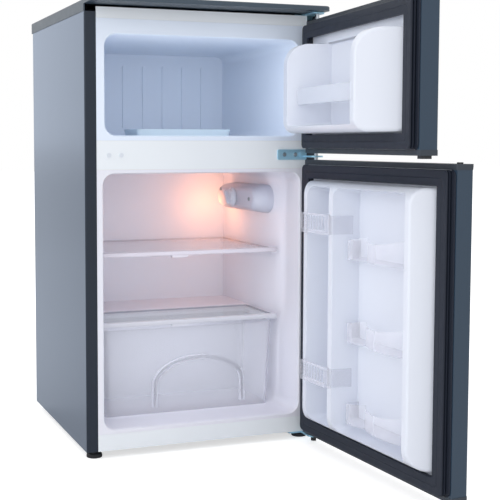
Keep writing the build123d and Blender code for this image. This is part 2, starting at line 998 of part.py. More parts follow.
def stop_plug(z):
    x, y = stop_width / 2, stop_depth / 2
    foot = block(-hinge_x - x, -hinge_x + x, hinge_y - y, hinge_y + y, z - stop_height, z)
    return fillet(foot.edges().filter_by(Axis.Z), plug_head) + plug_stem_at(z, -1)


def door_plugs(z0, z1):
    return group([stop_plug(z0), round_plug(z1, 1)])


def liner_plate(z0, z1):
    x = door_half - skin_return - plate_gap
    return block(-x, x, door_back - liner_wall, door_back, z0 + cap_height, z1 - cap_height)


def foam_core(z0, z1):
    t = door_skin_sheet
    x = door_half - t
    core = block(-x, x, door_face + t, door_back - liner_wall, z0 + cap_height, z1 - cap_height)
    for s in (-1, 1):
        edge = upright_edges(core, s * x, door_face + t)
        core = fillet(edge, cap_corner - t)
    core += cap_inside(z0 + cap_floor, z1 - cap_floor)
    for boss in cap_bosses(z0, z0 + cap_height) + cap_bosses(z1 - cap_height, z1):
        core -= boss
    return core


def side_prism(z0, z1, y0, y1, low_round, high_round):
    outline = make_face(Polyline((y0, z0), (y1, z0), (y1, z1), (y0, z1), close=True))
    for z, r in ((z0, low_round), (z1, high_round)):
        corner = [v for v in outline.vertices() if near(v.X, y1) and near(v.Y, z)]
        outline = fillet(corner, r)
    return Pos(-half_width, 0, 0) * extrude(Plane.YZ * outline, cabinet_width, dir=(1, 0, 0))


def dike_solid(form, d):
    base, tip, reach, low_round, high_round = form
    z0, z1 = base[2] + d, base[3] - d
    lower = door_back - (liner_wall if d else 0)
    y1 = reach - d
    plan = [(base[0] + d, lower), (base[1] - d, lower), (tip[1] - d, y1), (tip[0] + d, y1)]
    part = raised(plan, z0, z1 - z0)
    part = part & side_prism(z0, z1, lower - 1, y1, low_round - d, high_round - d)
    if d:
        return part
    across = part.edges().filter_by(Axis.X)
    rim = [e for e in part.edges() if e not in across and e.center().Y > door_back + 1]
    return fillet(rim, dike_round)


def pocket_solid(pocket, d):
    opening, floor, reach = pocket
    return tapered(grown(floor, d), -pocket_depth - d, grown(opening, d), reach + 1)


def door_liner(z0, z1, form, pockets):
    shape = liner_plate(z0, z1) + dike_solid(form, 0)
    base = form[0]
    under = block(-door_half, door_half, door_face, door_back, base[2], base[3])
    wraps = [pocket_solid(pocket, liner_wall) & (shape + under) for pocket in pockets]
    core = dike_solid(form, liner_wall)
    for wrap in wraps:
        shape += wrap
        core -= wrap
    shape -= core
    for pocket in pockets:
        shape -= pocket_solid(pocket, 0)
    return shape


def door_foam(z0, z1, form, pockets):
    foam = foam_core(z0, z1) + dike_solid(form, liner_wall)
    for pocket in pockets:
        foam -= pocket_solid(pocket, liner_wall)
    return foam


def dike_half():
    return half_width - gasket_inset - gasket_width - dike_side


def fridge_form():
    x = dike_half()
    base = (-x, x, fridge_dike_bottom, fridge_dike_top)
    tip = (-x + fridge_dike_free_draft, x - fridge_dike_hinge_draft) + base[2:]
    return base, tip, fridge_dike_reach, fridge_low_round, fridge_high_round


def fridge_pockets():
    tip = fridge_form()[1]
    z0, z1 = tip[2] + pocket_end_wall, tip[3] - pocket_end_wall
    can_hi = tip[1] - can_pocket_hinge_wall
    can_lo = can_hi - can_pocket_width
    bottle_hi = can_lo - divider_wall
    bottle_lo = tip[0] + free_wall
    pockets = []
    for lo, hi in ((can_lo, can_hi), (bottle_lo, bottle_hi)):
        opening = (lo, hi, z0, z1, pocket_corner + pocket_draft)
        pockets.append((opening, grown(opening, -pocket_draft), fridge_dike_reach))
    return pockets


def freezer_form():
    x = dike_half()
    x0, x1 = -x + freezer_dike_free_inset, x - freezer_dike_hinge_inset
    base = (x0, x1, freezer_dike_bottom, freezer_dike_top)
    tip = (x0 + freezer_dike_free_draft, x1 - freezer_dike_hinge_draft) + base[2:]
    return base, tip, freezer_dike_reach, freezer_low_round, freezer_high_round


def freezer_pockets():
    tip = freezer_form()[1]
    lo, hi = tip[0] + freezer_ear_free, tip[1] - freezer_ear_hinge
    d = freezer_pocket_draft
    low = tip[2] + freezer_ledge
    opening = (lo, hi, low, freezer_door_top, pocket_corner)
    floor = (lo + d, hi - d, low + freezer_ledge_slope, freezer_dike_top - liner_wall, pocket_corner)
    return [(opening, floor, freezer_dike_reach)]


def pocket_at(pocket, y):
    opening, floor, reach = pocket
    share = (reach + 1 - y) / (reach + 1 + pocket_depth)
    return [a + (b - a) * share for a, b in zip(opening[:2], floor[:2])]


def freezer_rail():
    y1 = freezer_dike_reach - rail_bar_setback
    x0, x1 = pocket_at(freezer_pockets()[0], y1 - rail_bar_depth)
    x0, x1 = x0 + rail_bar_clear, x1 - rail_bar_clear
    z0, z1 = rail_bar_bottom, rail_bar_bottom + rail_bar_height
    w = rail_bar_wall
    y0 = y1 - rail_bar_depth
    outer = (x0, x1, z0, z1, rail_bar_corner)
    return straight(outer, y0, y1) - straight(grown(outer, -w), y0 - 1, y1 - w)


def can_racks():
    can, bottle = fridge_pockets()
    lo, hi = can[0][:2]
    x0, x1 = lo - divider_wall + can_rack_lap, hi + can_rack_lap
    y0 = fridge_dike_reach
    y1 = y0 + can_rack_reach
    w = can_rack_wall
    pitch = (hi - lo) / (can_rack_bars + 1)
    wrap = pocket_solid(bottle, -retainer_clear) - pocket_solid(bottle, -retainer_clear - w)
    solids = []
    for z0 in (can_rack_lower, can_rack_upper):
        z1 = z0 + can_rack_height
        body = straight((x0, x1, z0, z1, can_rack_corner), y0, y1)
        r = can_rack_corner - w
        low, high = z0 + can_rack_base, z1 - can_rack_base
        body -= straight((lo, hi, low, z1 + w, r), y0 - 1, y1 - w)
        body -= straight((lo, hi, low + can_rack_base, high, r), y0 - 1, y1 + 1)
        for i in range(can_rack_bars):
            x = lo + pitch * (i + 1)
            body += block(x - can_rack_bar / 2, x + can_rack_bar / 2, y1 - w, y1, low, z1 - w)
        hook = wrap & block(x0 - 2 * w - divider_wall, x0 + w, -can_rack_hook, y0, z0 + w, z1 - w)
        bridge = block(bottle[0][1] - retainer_clear - w, x0 + w, y0 - w, y1 - w, z0 + w, z1 - w)
        solids.append(body + hook + (bridge - pocket_solid_walls(can, bottle)))
    return group(solids)


def pocket_solid_walls(can, bottle):
    x0, x1 = bottle[0][1] - retainer_clear, can[0][0]
    return block(x0, x1, door_back, fridge_dike_reach, fridge_dike_bottom, fridge_dike_top)


def scallop(x0, x1, y_back, dip, low, high):
    middle = x1 - (x1 - x0) * retainer_split
    front = ThreePointArc((x1, low), ((x1 + middle) / 2, high - retainer_step), (middle, dip))
    front += ThreePointArc((middle, dip), ((x0 + middle) / 2, high), (x0, low))
    return front + Polyline((x0, low), (x0, y_back), (x1, y_back), (x1, low))


def bottle_retainers():
    pocket = fridge_pockets()[1]
    back = -pocket_depth + retainer_clear
    x0, x1 = pocket_at(pocket, back)
    x0, x1 = x0 + retainer_clear, x1 - retainer_clear - can_rack_wall - retainer_clear
    w = retainer_wall
    outer = make_face(scallop(x0, x1, back, retainer_dip, retainer_low, retainer_reach))
    dip, low, high = retainer_dip - w, retainer_low - w, retainer_reach - w
    inner = make_face(scallop(x0 + w, x1 - w, back - 1, dip, low, high))
    middle = x1 - (x1 - x0) * retainer_split
    h, wave = retainer_height, retainer_wave
    start, valley, end = h - retainer_fall, h - wave / 2, h + wave
    sky = Polyline((x1 + 1, start), (middle, h + retainer_crown), (middle, valley))
    sky += ThreePointArc((middle, valley), ((x0 + middle) / 2, h - retainer_sag), (x0 - 1, end))
    sky += Polyline((x0 - 1, end), (x0 - 1, 3 * h), (x1 + 1, 3 * h), (x1 + 1, start))
    upright_plane = Plane(origin=(0, fridge_dike_reach, 0), x_dir=(1, 0, 0), z_dir=(0, -1, 0))
    cutter = extrude(upright_plane * make_face(sky), 2 * (fridge_dike_reach + pocket_depth), dir=(0, -1, 0))
    cutter = Pos(0, fridge_dike_reach, 0) * cutter
    tall = h + 2 * wave
    bin_shape = extrude(outer, tall, dir=(0, 0, 1))
    bin_shape -= Pos(0, 0, retainer_floor) * extrude(inner, tall, dir=(0, 0, 1))
    bin_shape -= cutter
    levels = (retainer_low_level, retainer_mid_level, retainer_high_level)
    return group([Pos(0, 0, z) * bin_shape for z in levels])


# shelves, drawer and tray
def shelf(front, rear, level):
    z0 = level + shelf_rest
    glass = block(-shelf_half, shelf_half, front + trim_wall, rear, z0, z0 + shelf_glass)
    w = trim_wall
    trim = block(-shelf_half, shelf_half, front, front + trim_depth, z0 - w, z0 + shelf_glass + w)
    nose = [e for e in trim.edges().filter_by(Axis.X) if near(e.center().Y, front)]
    trim = fillet(nose, w)
    grip = (grip_offset - grip_width / 2, grip_offset + grip_width / 2, z0 - w - grip_drop, z0, grip_corner)
    trim += straight(grip, front + 1, front + trim_depth)
    return glass, trim - glass


def upper_shelf():
    return shelf(shelf_front, fridge_back - shelf_rear_gap, ledge_top)


def crisper_cover():
    return shelf(shelf_front, hump_front - cover_rear_gap, cover_ledge_top)


def crisper_drawer():
    z0 = fridge_open_bottom + shelf_rest
    y1 = hump_front - drawer_rear_gap
    y_mid = (drawer_front + y1) / 2
    depth = y1 - drawer_front

    def cup(d, lift):
        wide, deep = 2 * (drawer_half - d), depth - 2 * d
        slim = wide - 2 * drawer_draft
        a = rounded_plan(0, y_mid, z0 + lift, slim, deep - drawer_draft, drawer_corner)
        return loft([a, rounded_plan(0, y_mid, drawer_top, wide, deep, drawer_corner)], ruled=True)

    inner = cup(drawer_wall, drawer_wall)
    body = cup(0, 0) - inner
    place = Plane(origin=(arch_centre, drawer_front + arch_depth, 0), x_dir=(1, 0, 0), z_dir=(0, -1, 0))

    def arch(half, rise, z_low):
        legs = Polyline((-half, arch_spring), (-half, z_low), (half, z_low), (half, arch_spring))
        crown = EllipticalCenterArc((0, arch_spring), half, rise, start_angle=0, arc_size=180)
        return place * make_face(legs + crown)

    lip = extrude(arch(arch_half, arch_rise, z0 + arch_foot), arch_depth * 2, dir=(0, -1, 0))
    lip -= extrude(arch(arch_half - arch_lip, arch_rise - arch_lip, z0), arch_depth * 2, dir=(0, -1, 0))
    return body + (lip - inner - cup(0, 0))


def ice_tray():
    z0 = freezer_floor + tray_floor_gap
    z1 = z0 + tray_height
    y_mid = tray_front + tray_depth / 2
    w, d = tray_wall, tray_draft
    base = rounded_plan(0, y_mid, z0, tray_length - 2 * d, tray_depth - 2 * d, tray_corner - w)
    top = rounded_plan(0, y_mid, z1, tray_length, tray_depth, tray_corner)
    body = loft([base, top], ruled=True)
    inner_length, inner_depth = tray_length - 2 * tray_rim, tray_depth - 2 * tray_rim
    divider_top = z1 - tray_recess
    recess = rounded_plan(0, y_mid, divider_top, inner_length, inner_depth, tray_corner - w)
    body -= extrude(recess, 2 * tray_recess, dir=(0, 0, 1))
    pitch_x, pitch_y = inner_length / tray_cells, inner_depth / tray_rows
    for i in range(tray_cells):
        for j in range(tray_rows):
            cx = -inner_length / 2 + pitch_x * (i + 0.5)
            cy = y_mid - inner_depth / 2 + pitch_y * (j + 0.5)
            low = Plane(origin=(cx, cy, z0 + w)) * Rectangle(pitch_x - 2 * d, pitch_y - 2 * d)
            high = Plane(origin=(cx, cy, divider_top + w)) * Rectangle(pitch_x - w, pitch_y - w)
            body -= loft([low, high], ruled=True)
    return body


# thermostat and lamp
def housing_solid(d):
    y_mid = housing_front + housing_length / 2
    x_in = wall_x(y_mid) - housing_depth
    t = housing_taper
    x_out = fridge_open_half + housing_sink
    wide = Plane(origin=(x_out, y_mid, housing_level), x_dir=(0, 1, 0), z_dir=(-1, 0, 0))
    slim = Plane(origin=(x_in + d, y_mid, housing_level), x_dir=(0, 1, 0), z_dir=(-1, 0, 0))
    h = housing_height - 2 * d
    length = housing_length - 2 * d
    a = wide * RectangleRounded(length, h, h / 2 - housing_flat)
    b = slim * RectangleRounded(length - 2 * t, h - 2 * t, h / 2 - t - housing_flat)
    return loft([a, b], ruled=True), x_in


def housing_screw_places():
    rear = housing_front + housing_length - housing_rear_screw
    return [(housing_front + housing_front_screw, housing_level), (rear, housing_level + housing_screw_rise)]


def thermostat_housing():
    outer, x_in = housing_solid(0)
    inner, _ = housing_solid(housing_wall)
    behind = wall_solid(-housing_seat)
    part = outer - inner - behind
    y_rear = housing_front + housing_length
    z0, z1 = housing_level - lamp_opening / 2, housing_level + lamp_opening / 2
    t = housing_taper
    part -= block(x_in + t, half_width, y_rear - 2 * t, y_rear + t, z0, z1)
    shaft = knob_shaft_radius + pin_clearance
    part -= rod_x(x_in - 1, x_in + 2 * housing_wall, knob_setting_y, housing_level, shaft)
    for y, z in housing_screw_places():
        part += rod_x(x_in + housing_wall / 2, half_width, y, z, boss_radius) - behind
        part -= rod_x(x_in - 1, half_width, y, z, screw_hole)
    return part


def housing_screws():
    x_in = housing_solid(0)[1]
    solids = []
    for y, z in housing_screw_places():
        head = rod_x(x_in - screw_head_height, x_in, y, z, screw_head_radius)
        solids.append(head + rod_x(x_in, wall_x(y) + screw_length, y, z, screw_radius))
    return group(solids)


def thermostat_body():
    x_in = housing_solid(0)[1] + housing_wall
    dx, dy, dz = thermostat_size
    part = Pos(x_in + dx / 2, knob_setting_y, housing_level) * Box(dx, dy, dz)
    shaft = knob_shaft_radius + pin_clearance
    return part - rod_x(x_in - 1, x_in + dx / 2 + pin_tip_gap, knob_setting_y, housing_level, shaft)


def thermostat_knob():
    x_in = housing_solid(0)[1]
    face = x_in - knob_gap
    disc = rod_x(face - knob_thickness, face, knob_setting_y, housing_level, knob_radius)
    rim = disc.edges().filter_by(GeomType.CIRCLE).sort_by(Axis.X)[0]
    disc = fillet(rim, knob_round)
    x0, x1 = face - knob_thickness - knob_grip_rise, face - knob_thickness
    y0, y1 = knob_setting_y - knob_grip / 2, knob_setting_y + knob_grip / 2
    grip = block(x0, x1, y0, y1, housing_level - knob_grip_half, housing_level + knob_grip_half)
    grip = fillet([e for e in grip.edges() if near(e.center().X, x0)], knob_round)
    end = x_in + housing_wall + thermostat_size[0] / 2
    return disc + grip + rod_x(face, end, knob_setting_y, housing_level, knob_shaft_radius)


def lamp_places():
    y1 = housing_front + housing_length - housing_taper - lamp_end_gap
    return wall_x(y1) - lamp_sink, y1


def lamp_bulb():
    x, y1 = lamp_places()
    y0 = y1 - lamp_length
    centre = y1 - lamp_radius

    def section(y, r):
        return Plane(origin=(x, y, housing_level), x_dir=(1, 0, 0), z_dir=(0, 1, 0)) * Circle(r)

    glass = Pos(x, centre, housing_level) * Sphere(lamp_radius)
    neck = loft([section(y0, lamp_base_radius), section(centre, lamp_radius)])
    return glass + neck + rod_y(x, y0 - lamp_base_length + lamp_seat, y0, housing_level, lamp_base_radius)


def lamp_holder():
    x, y1 = lamp_places()
    y0 = y1 - lamp_length
    back = y0 - lamp_base_length
    r = lamp_base_radius + lamp_holder_wall
    part = rod_y(x, back - lamp_holder_lap, y0 - lamp_holder_lap, housing_level, r)
    part -= rod_y(x, back + lamp_seat, y0, housing_level, lamp_base_radius)
    z0, z1 = housing_level - lamp_arm_half, housing_level + lamp_arm_half
    arm = block(x, half_width, back - lamp_holder_lap, back - lamp_holder_lap + lamp_arm, z0, z1)
    return part + (arm - wall_solid(-housing_seat))


# machine space
def compressor_studs():
    dx, dy = compressor_foot_half - compressor_stud_inset, compressor_foot_depth - compressor_stud_inset
    return [(compressor_x + sx * dx, compressor_y + sy * dy) for sx in (-1, 1) for sy in (-1, 1)]


def compressor_grommets():
    solids = []
    for x, y in compressor_studs():
        body = rod(x, y, pan_top, pan_top + compressor_seat, grommet_radius)
        solids.append(body - rod(x, y, 0, panel_top, screw_hole))
    return group(solids)


def compressor():
    z0 = pan_top + compressor_seat
    r = compressor_radius
    h = compressor_height
    crown = (r * r + dome_height * dome_height) / (2 * dome_height)
    can = rod(0, 0, 0, h - dome_height, r)
    can = chamfer(can.edges().filter_by(GeomType.CIRCLE).sort_by(Axis.Z)[0], shell_chamfer)
    dome = Pos(0, 0, h - crown) * Sphere(crown) & rod(0, 0, h - dome_height, h + 1, r)
    shell = can + dome
    rim = [e for e in shell.edges() if near(e.center().Z, h - dome_height)]
    shell = fillet(rim, dome_round) + rod(0, 0, h / 2, h / 2 + seam_height, r + seam_width)
    plan = RectangleRounded(2 * compressor_foot_half, 2 * compressor_foot_depth, compressor_foot_corner)
    foot = extrude(plan, compressor_foot_sheet)
    body = Pos(compressor_x, compressor_y, z0) * (shell + foot)
    for x, y in compressor_studs():
        body -= rod(x, y, z0 - 1, z0 + compressor_foot_sheet + 1, screw_hole)
    return body


def relay_box():
    dx, dy, dz = relay_size
    x1 = compressor_x - compressor_radius + relay_wrap
    x0 = x1 - dx
    z0 = pan_top + compressor_seat + compressor_foot_sheet + relay_lift
    box = block(x0, x1, compressor_y - dy / 2, compressor_y + dy / 2, z0, z0 + dz)
    box = fillet(box.edges().filter_by(Axis.Z), relay_corner)
    inlet_end = compressor_y + dy / 2 + inlet_length
    box += rod_y(x0 + inlet_inset, compressor_y, inlet_end, z0 + inlet_inset, inlet_radius)
    box -= rod(compressor_x, compressor_y, 0, panel_top, compressor_radius + joint_gap)
    seam = pan_top + compressor_seat + compressor_height / 2
    r = compressor_radius + seam_width + joint_gap
    return box - rod(compressor_x, compressor_y, seam - joint_gap, seam + seam_height + joint_gap, r)


def drip_tray():
    z0 = pan_top + compressor_seat + compressor_height
    z1 = z0 + tray_pan_height

    def cup(d, low):
        wide, deep = 2 * (tray_pan_half - d), tray_pan_depth - 2 * d
        g = 2 * tray_pan_draft
        r = tray_pan_corner - d
        a = rounded_plan(compressor_x, compressor_y, low, wide - g, deep - g, r - tray_pan_wall)
        return loft([a, rounded_plan(compressor_x, compressor_y, z1, wide, deep, r)], ruled=True)

    return cup(0, z0) - cup(tray_pan_wall, z0 + tray_pan_wall)


def condenser_place():
    return rear_face + condenser_stand_off, condenser_bottom + (condenser_runs - 1) * condenser_pitch


def condenser():
    y, top = condenser_place()
    points = []
    for i in range(condenser_runs):
        z = top - i * condenser_pitch
        ends = [(condenser_half, y, z), (-condenser_half, y, z)]
        points += ends if i % 2 == 0 else ends[::-1]
    coil = tube(points, condenser_pitch / 2 - joint_gap, condenser_tube)
    solids = [coil]
    z0 = condenser_bottom - wire_overrun
    z1 = top + wire_overrun
    span = condenser_half - condenser_pitch / 2 - clip_width / 2
    for i in range(wire_count):
        x = -span + 2 * span * i / (wire_count - 1)
        for s in (-1, 1):
            wire_y = y + s * (condenser_tube + wire_radius + wire_gap)
            solids.append(Pos(x, wire_y, z0) * extrude(RegularPolygon(wire_radius, 6), z1 - z0))
    inner = y - condenser_tube - 2 * wire_radius - 2 * wire_gap
    for s in (-1, 1):
        for z in (condenser_bottom + condenser_pitch / 2, top - condenser_pitch / 2):
            a, b = sorted((s * (span - clip_width), s * (span + clip_width / 2)))
            solids.append(block(a, b, rear_face, inner, z - clip_height / 2, z + clip_height / 2))
    gap = condenser_pitch - 2 * condenser_tube
    print("condenser coil, least gap to itself", round(gap, 2), "mm")
    return group(solids)


def drier_place():
    low = machine_roof - drier_drop - drier_length
    return -condenser_half - drier_out, rear_face - drier_inset, low, low + drier_length


def filter_drier():
    x, y, low, high = drier_place()
    body = rod(x, y, low, high, drier_radius)
    return fillet(body.edges().filter_by(GeomType.CIRCLE), drier_radius - 2 * capillary_radius)


def capillary_tube():
    x, y, low, high = drier_place()
    coil_y = condenser_place()[0]
    bend = high + liquid_rise
    liquid = [
        (-condenser_half, coil_y, condenser_bottom),
        (x, coil_y, condenser_bottom),
        (x, coil_y, bend),
        (x, y, bend),
        (x, y, high),
    ]
    line = tube(liquid, condenser_tube + 1, condenser_tube)
    return group([line, tube(capillary_points(), tube_bend, capillary_radius)])


def discharge_points():
    y, top = condenser_place()
    z = pan_top + compressor_seat + discharge_port
    x = condenser_half + drier_out
    return [
        (compressor_x, compressor_y + compressor_radius, z),
        (compressor_x, rear_face - discharge_inset, z),
        (x, rear_face - discharge_inset, z),
        (x, y, z + drier_inset),
        (x, y, top),
        (condenser_half, y, top),
    ]


def discharge_tube():
    return tube(discharge_points(), condenser_tube + 1, condenser_tube)


def build_all():
    parts = {
        "outer_shell": outer_shell(),
        "rear_panel": rear_panel(),
        "base_pan": base_pan(),
        "worktop": worktop(),
        "top_rail": top_rail(),
        "mid_rail": mid_rail(),
        "bottom_apron": bottom_apron(),
        "freezer_liner": freezer_liner(),
        "fridge_liner": fridge_liner(),
        "top_hinge": top_hinge(),
        "top_hinge_pin": top_hinge_pin(),
        "mid_hinge": mid_hinge(),
        "mid_hinge_pin": mid_hinge_pin(),
        "bottom_hinge": bottom_hinge(),
        "bottom_hinge_pin": bottom_hinge_pin(),
        "hinge_screws": hinge_screws(),
        "hinge_hole_plugs": hinge_hole_plugs(),
        "front_foot_left": front_foot(-1),
        "front_foot_right": front_foot(1),
        "rear_feet": rear_feet(),
        "evaporator": evaporator(),
        "suction_tube": suction_tube(),
        "compressor": compressor(),
        "compressor_grommets": compressor_grommets(),
        "relay_box": relay_box(),
        "drip_tray": drip_tray(),
        "condenser": condenser(),
        "discharge_tube": discharge_tube(),
        "filter_drier": filter_drier(),
        "capillary_tube": capillary_tube(),
        "thermostat_housing": thermostat_housing(),
        "thermostat_body": thermostat_body(),
        "thermostat_knob": thermostat_knob(),
        "housing_screws": housing_screws(),
        "lamp_bulb": lamp_bulb(),
        "lamp_holder": lamp_holder(),
        "crisper_drawer": crisper_drawer(),
        "ice_tray": ice_tray(),
    }
    parts["upper_shelf_glass"], parts["upper_shelf_trim"] = upper_shelf()
    parts["crisper_cover_glass"], parts["crisper_cover_trim"] = crisper_cover()
    in_foam = (
        "outer_shell",
        "mid_rail",
        "top_rail",
        "bottom_apron",
        "base_pan",
        "hinge_screws",
        "hinge_hole_plugs",
        "housing_screws",
        "evaporator",
    )
    parts["cabinet_foam"] = cabinet_foam([parts[node] for node in in_foam])

    fridge_span = (fridge_door_bottom, fridge_door_top, fridge_open_angle)
    freezer_span = (freezer_door_bottom, freezer_door_top, freezer_open_angle)
    doors = (
        ("fridge", fridge_span, fridge_form(), fridge_pockets()),
        ("freezer", freezer_span, freezer_form(), freezer_pockets()),
    )
    for name, (z0, z1, angle), form, pockets in doors:
        pieces = {
            "skin": door_skin(z0, z1),
            "top_cap": top_cap(z1),
            "bottom_cap": bottom_cap(z0),
            "gasket": gasket(z0, z1),
            "plugs": door_plugs(z0, z1),
            "liner": door_liner(z0, z1, form, pockets),
            "foam": door_foam(z0, z1, form, pockets),
        }
        for piece, shape in pieces.items():
            parts[f"{name}_door_{piece}"] = swung(shape, angle)
    parts["can_racks"] = swung(can_racks(), fridge_open_angle)
    parts["bottle_retainers"] = swung(bottle_retainers(), fridge_open_angle)
    parts["freezer_door_rail"] = swung(freezer_rail(), freezer_open_angle)
    return parts


for node, shape in build_all().items():
    save(shape, node)
    print(node, round(shape.volume / 1000, 1), "cm3")
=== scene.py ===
import json
import math

import bmesh
import bpy
from mathutils import Matrix, Vector


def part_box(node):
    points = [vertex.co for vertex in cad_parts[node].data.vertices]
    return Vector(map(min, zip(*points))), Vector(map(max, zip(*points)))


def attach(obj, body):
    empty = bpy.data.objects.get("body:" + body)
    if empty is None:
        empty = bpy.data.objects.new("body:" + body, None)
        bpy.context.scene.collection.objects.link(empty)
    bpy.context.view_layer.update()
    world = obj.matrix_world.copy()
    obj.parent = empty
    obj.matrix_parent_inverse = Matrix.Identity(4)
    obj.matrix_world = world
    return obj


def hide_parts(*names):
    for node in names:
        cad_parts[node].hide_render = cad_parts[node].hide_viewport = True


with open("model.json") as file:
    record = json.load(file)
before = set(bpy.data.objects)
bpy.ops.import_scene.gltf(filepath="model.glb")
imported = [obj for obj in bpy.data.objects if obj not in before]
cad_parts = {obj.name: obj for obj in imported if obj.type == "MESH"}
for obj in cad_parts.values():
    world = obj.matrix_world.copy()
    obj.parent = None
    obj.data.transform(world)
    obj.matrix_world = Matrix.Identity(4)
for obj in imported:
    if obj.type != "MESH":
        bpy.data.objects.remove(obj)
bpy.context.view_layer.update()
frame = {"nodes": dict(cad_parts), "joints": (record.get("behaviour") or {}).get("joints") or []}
nodes = frame["nodes"]
joints = {j["name"]: j for j in frame["joints"]}
print("frame loaded:", len(nodes), "nodes")


# small helpers

def linear(colour):  # 0-255 screen colour to scene colour
    parts = [c / 255 for c in colour]
    return tuple(p / 12.92 if p <= 0.04045 else ((p + 0.055) / 1.055) ** 2.4 for p in parts) + (1.0,)


def newMaterial(name):
    mat = bpy.data.materials.new(name)
    mat.use_nodes = True
    return mat, mat.node_tree, mat.node_tree.nodes["Principled BSDF"]


def addNode(tree, kind, **settings):
    node = tree.nodes.new(kind)
    for key, value in settings.items():
        setattr(node, key, value)
    return node


def objectNoise(tree, scale, detail=3.0):
    place = addNode(tree, "ShaderNodeTexCoord")
    noise = addNode(tree, "ShaderNodeTexNoise")
    noise.inputs["Scale"].default_value = scale
    noise.inputs["Detail"].default_value = detail
    tree.links.new(place.outputs["Object"], noise.inputs["Vector"])
    return noise


def spread(tree, source, low, high):  # 0-1 noise to a range
    ranged = addNode(tree, "ShaderNodeMapRange")
    ranged.inputs["To Min"].default_value = low
    ranged.inputs["To Max"].default_value = high
    tree.links.new(source, ranged.inputs["Value"])
    return ranged.outputs["Result"]


def addGrain(tree, shader, look):  # uneven gloss and a fine bump
    gloss = objectNoise(tree, look["glossScale"])
    low, high = look["roughness"]
    tree.links.new(spread(tree, gloss.outputs["Fac"], low, high), shader.inputs["Roughness"])
    grain = objectNoise(tree, look["grainScale"], 2.0)
    bump = addNode(tree, "ShaderNodeBump")
    bump.inputs["Strength"].default_value = look["grain"]
    bump.inputs["Distance"].default_value = look["grainDepth"]
    tree.links.new(grain.outputs["Fac"], bump.inputs["Height"])
    tree.links.new(bump.outputs["Normal"], shader.inputs["Normal"])


def addTone(tree, shader, look):  # slow change of shade over the piece
    tone = objectNoise(tree, look["toneScale"])
    mix = addNode(tree, "ShaderNodeMix", data_type="RGBA")
    mix.inputs["A"].default_value = linear(look["colour"])
    mix.inputs["B"].default_value = linear(look["shade"])
    tree.links.new(tone.outputs["Fac"], mix.inputs["Factor"])
    tree.links.new(mix.outputs["Result"], shader.inputs["Base Color"])


def feed(tree, socket, value):  # a number is set, an output is linked
    if isinstance(value, (int, float)):
        socket.default_value = value
    else:
        tree.links.new(value, socket)


def mathNode(tree, operation, first, second):
    node = addNode(tree, "ShaderNodeMath", operation=operation)
    feed(tree, node.inputs[0], first)
    feed(tree, node.inputs[1], second)
    return node.outputs[0]


paneLook = {"blend": 0.35, "upright": 0.5}  # how fast a clear face whitens, and which faces count as edges


def addClear(tree, shader, look):  # faint face on, whiter towards the edges
    facing = addNode(tree, "ShaderNodeLayerWeight")
    facing.inputs["Blend"].default_value = paneLook["blend"]
    low, high = look["alpha"]
    alpha = spread(tree, facing.outputs["Facing"], low, high)
    if "edge" in look:
        alpha = addPaintedEdgeShade(tree, shader, look, alpha)
    tree.links.new(alpha, shader.inputs["Alpha"])


def addPaintedEdgeShade(tree, shader, look, alpha):  # upright edges of a pane, darker and denser than its faces: glass edge tint together with painted shade of the gaps behind the panes
    place = addNode(tree, "ShaderNodeTexCoord")
    parts = addNode(tree, "ShaderNodeSeparateXYZ")
    tree.links.new(place.outputs["Normal"], parts.inputs[0])
    level = mathNode(tree, "ABSOLUTE", parts.outputs["Z"], 0.0)
    edge = mathNode(tree, "LESS_THAN", level, paneLook["upright"])
    mix = addNode(tree, "ShaderNodeMix", data_type="RGBA")
    mix.inputs["B"].default_value = linear(look["edge"])
    tree.links.new(edge, mix.inputs["Factor"])
    tree.links.new(shader.inputs["Base Color"].links[0].from_socket, mix.inputs["A"])
    tree.links.new(mix.outputs["Result"], shader.inputs["Base Color"])
    return mathNode(tree, "MAXIMUM", alpha, mathNode(tree, "MULTIPLY", edge, look["edgeShadeAlpha"]))


def finish(name, look):
    mat, tree, shader = newMaterial(name)
    shader.inputs["Metallic"].default_value = look.get("metal", 0.0)
    shader.inputs["IOR"].default_value = look.get("ior", 1.5)
    shader.inputs["Coat Weight"].default_value = look.get("coat", 0.0)
    shader.inputs["Coat Roughness"].default_value = look.get("coatRoughness", 0.1)
    shader.inputs["Coat IOR"].default_value = look.get("coatIor", 1.5)
    shader.inputs["Coat Tint"].default_value = linear(look.get("coatTint", (255, 255, 255)))
    shader.inputs["Emission Color"].default_value = linear(look.get("warmth", (255, 255, 255)))
    shader.inputs["Emission Strength"].default_value = look.get("glow", 0.0)
    addTone(tree, shader, look)
    if "alpha" in look:
        addClear(tree, shader, look)
    addGrain(tree, shader, look)
    return mat


# finishes

paint = {"toneScale": 3.0, "glossScale": 30.0, "grainScale": 900.0, "grain": 0.12, "grainDepth": 0.0004}
plastic = {"toneScale": 4.0, "glossScale": 22.0, "grainScale": 700.0, "grain": 0.06, "grainDepth": 0.0004}
rough = {"toneScale": 9.0, "glossScale": 60.0, "grainScale": 1400.0, "grain": 0.3, "grainDepth": 0.0005}

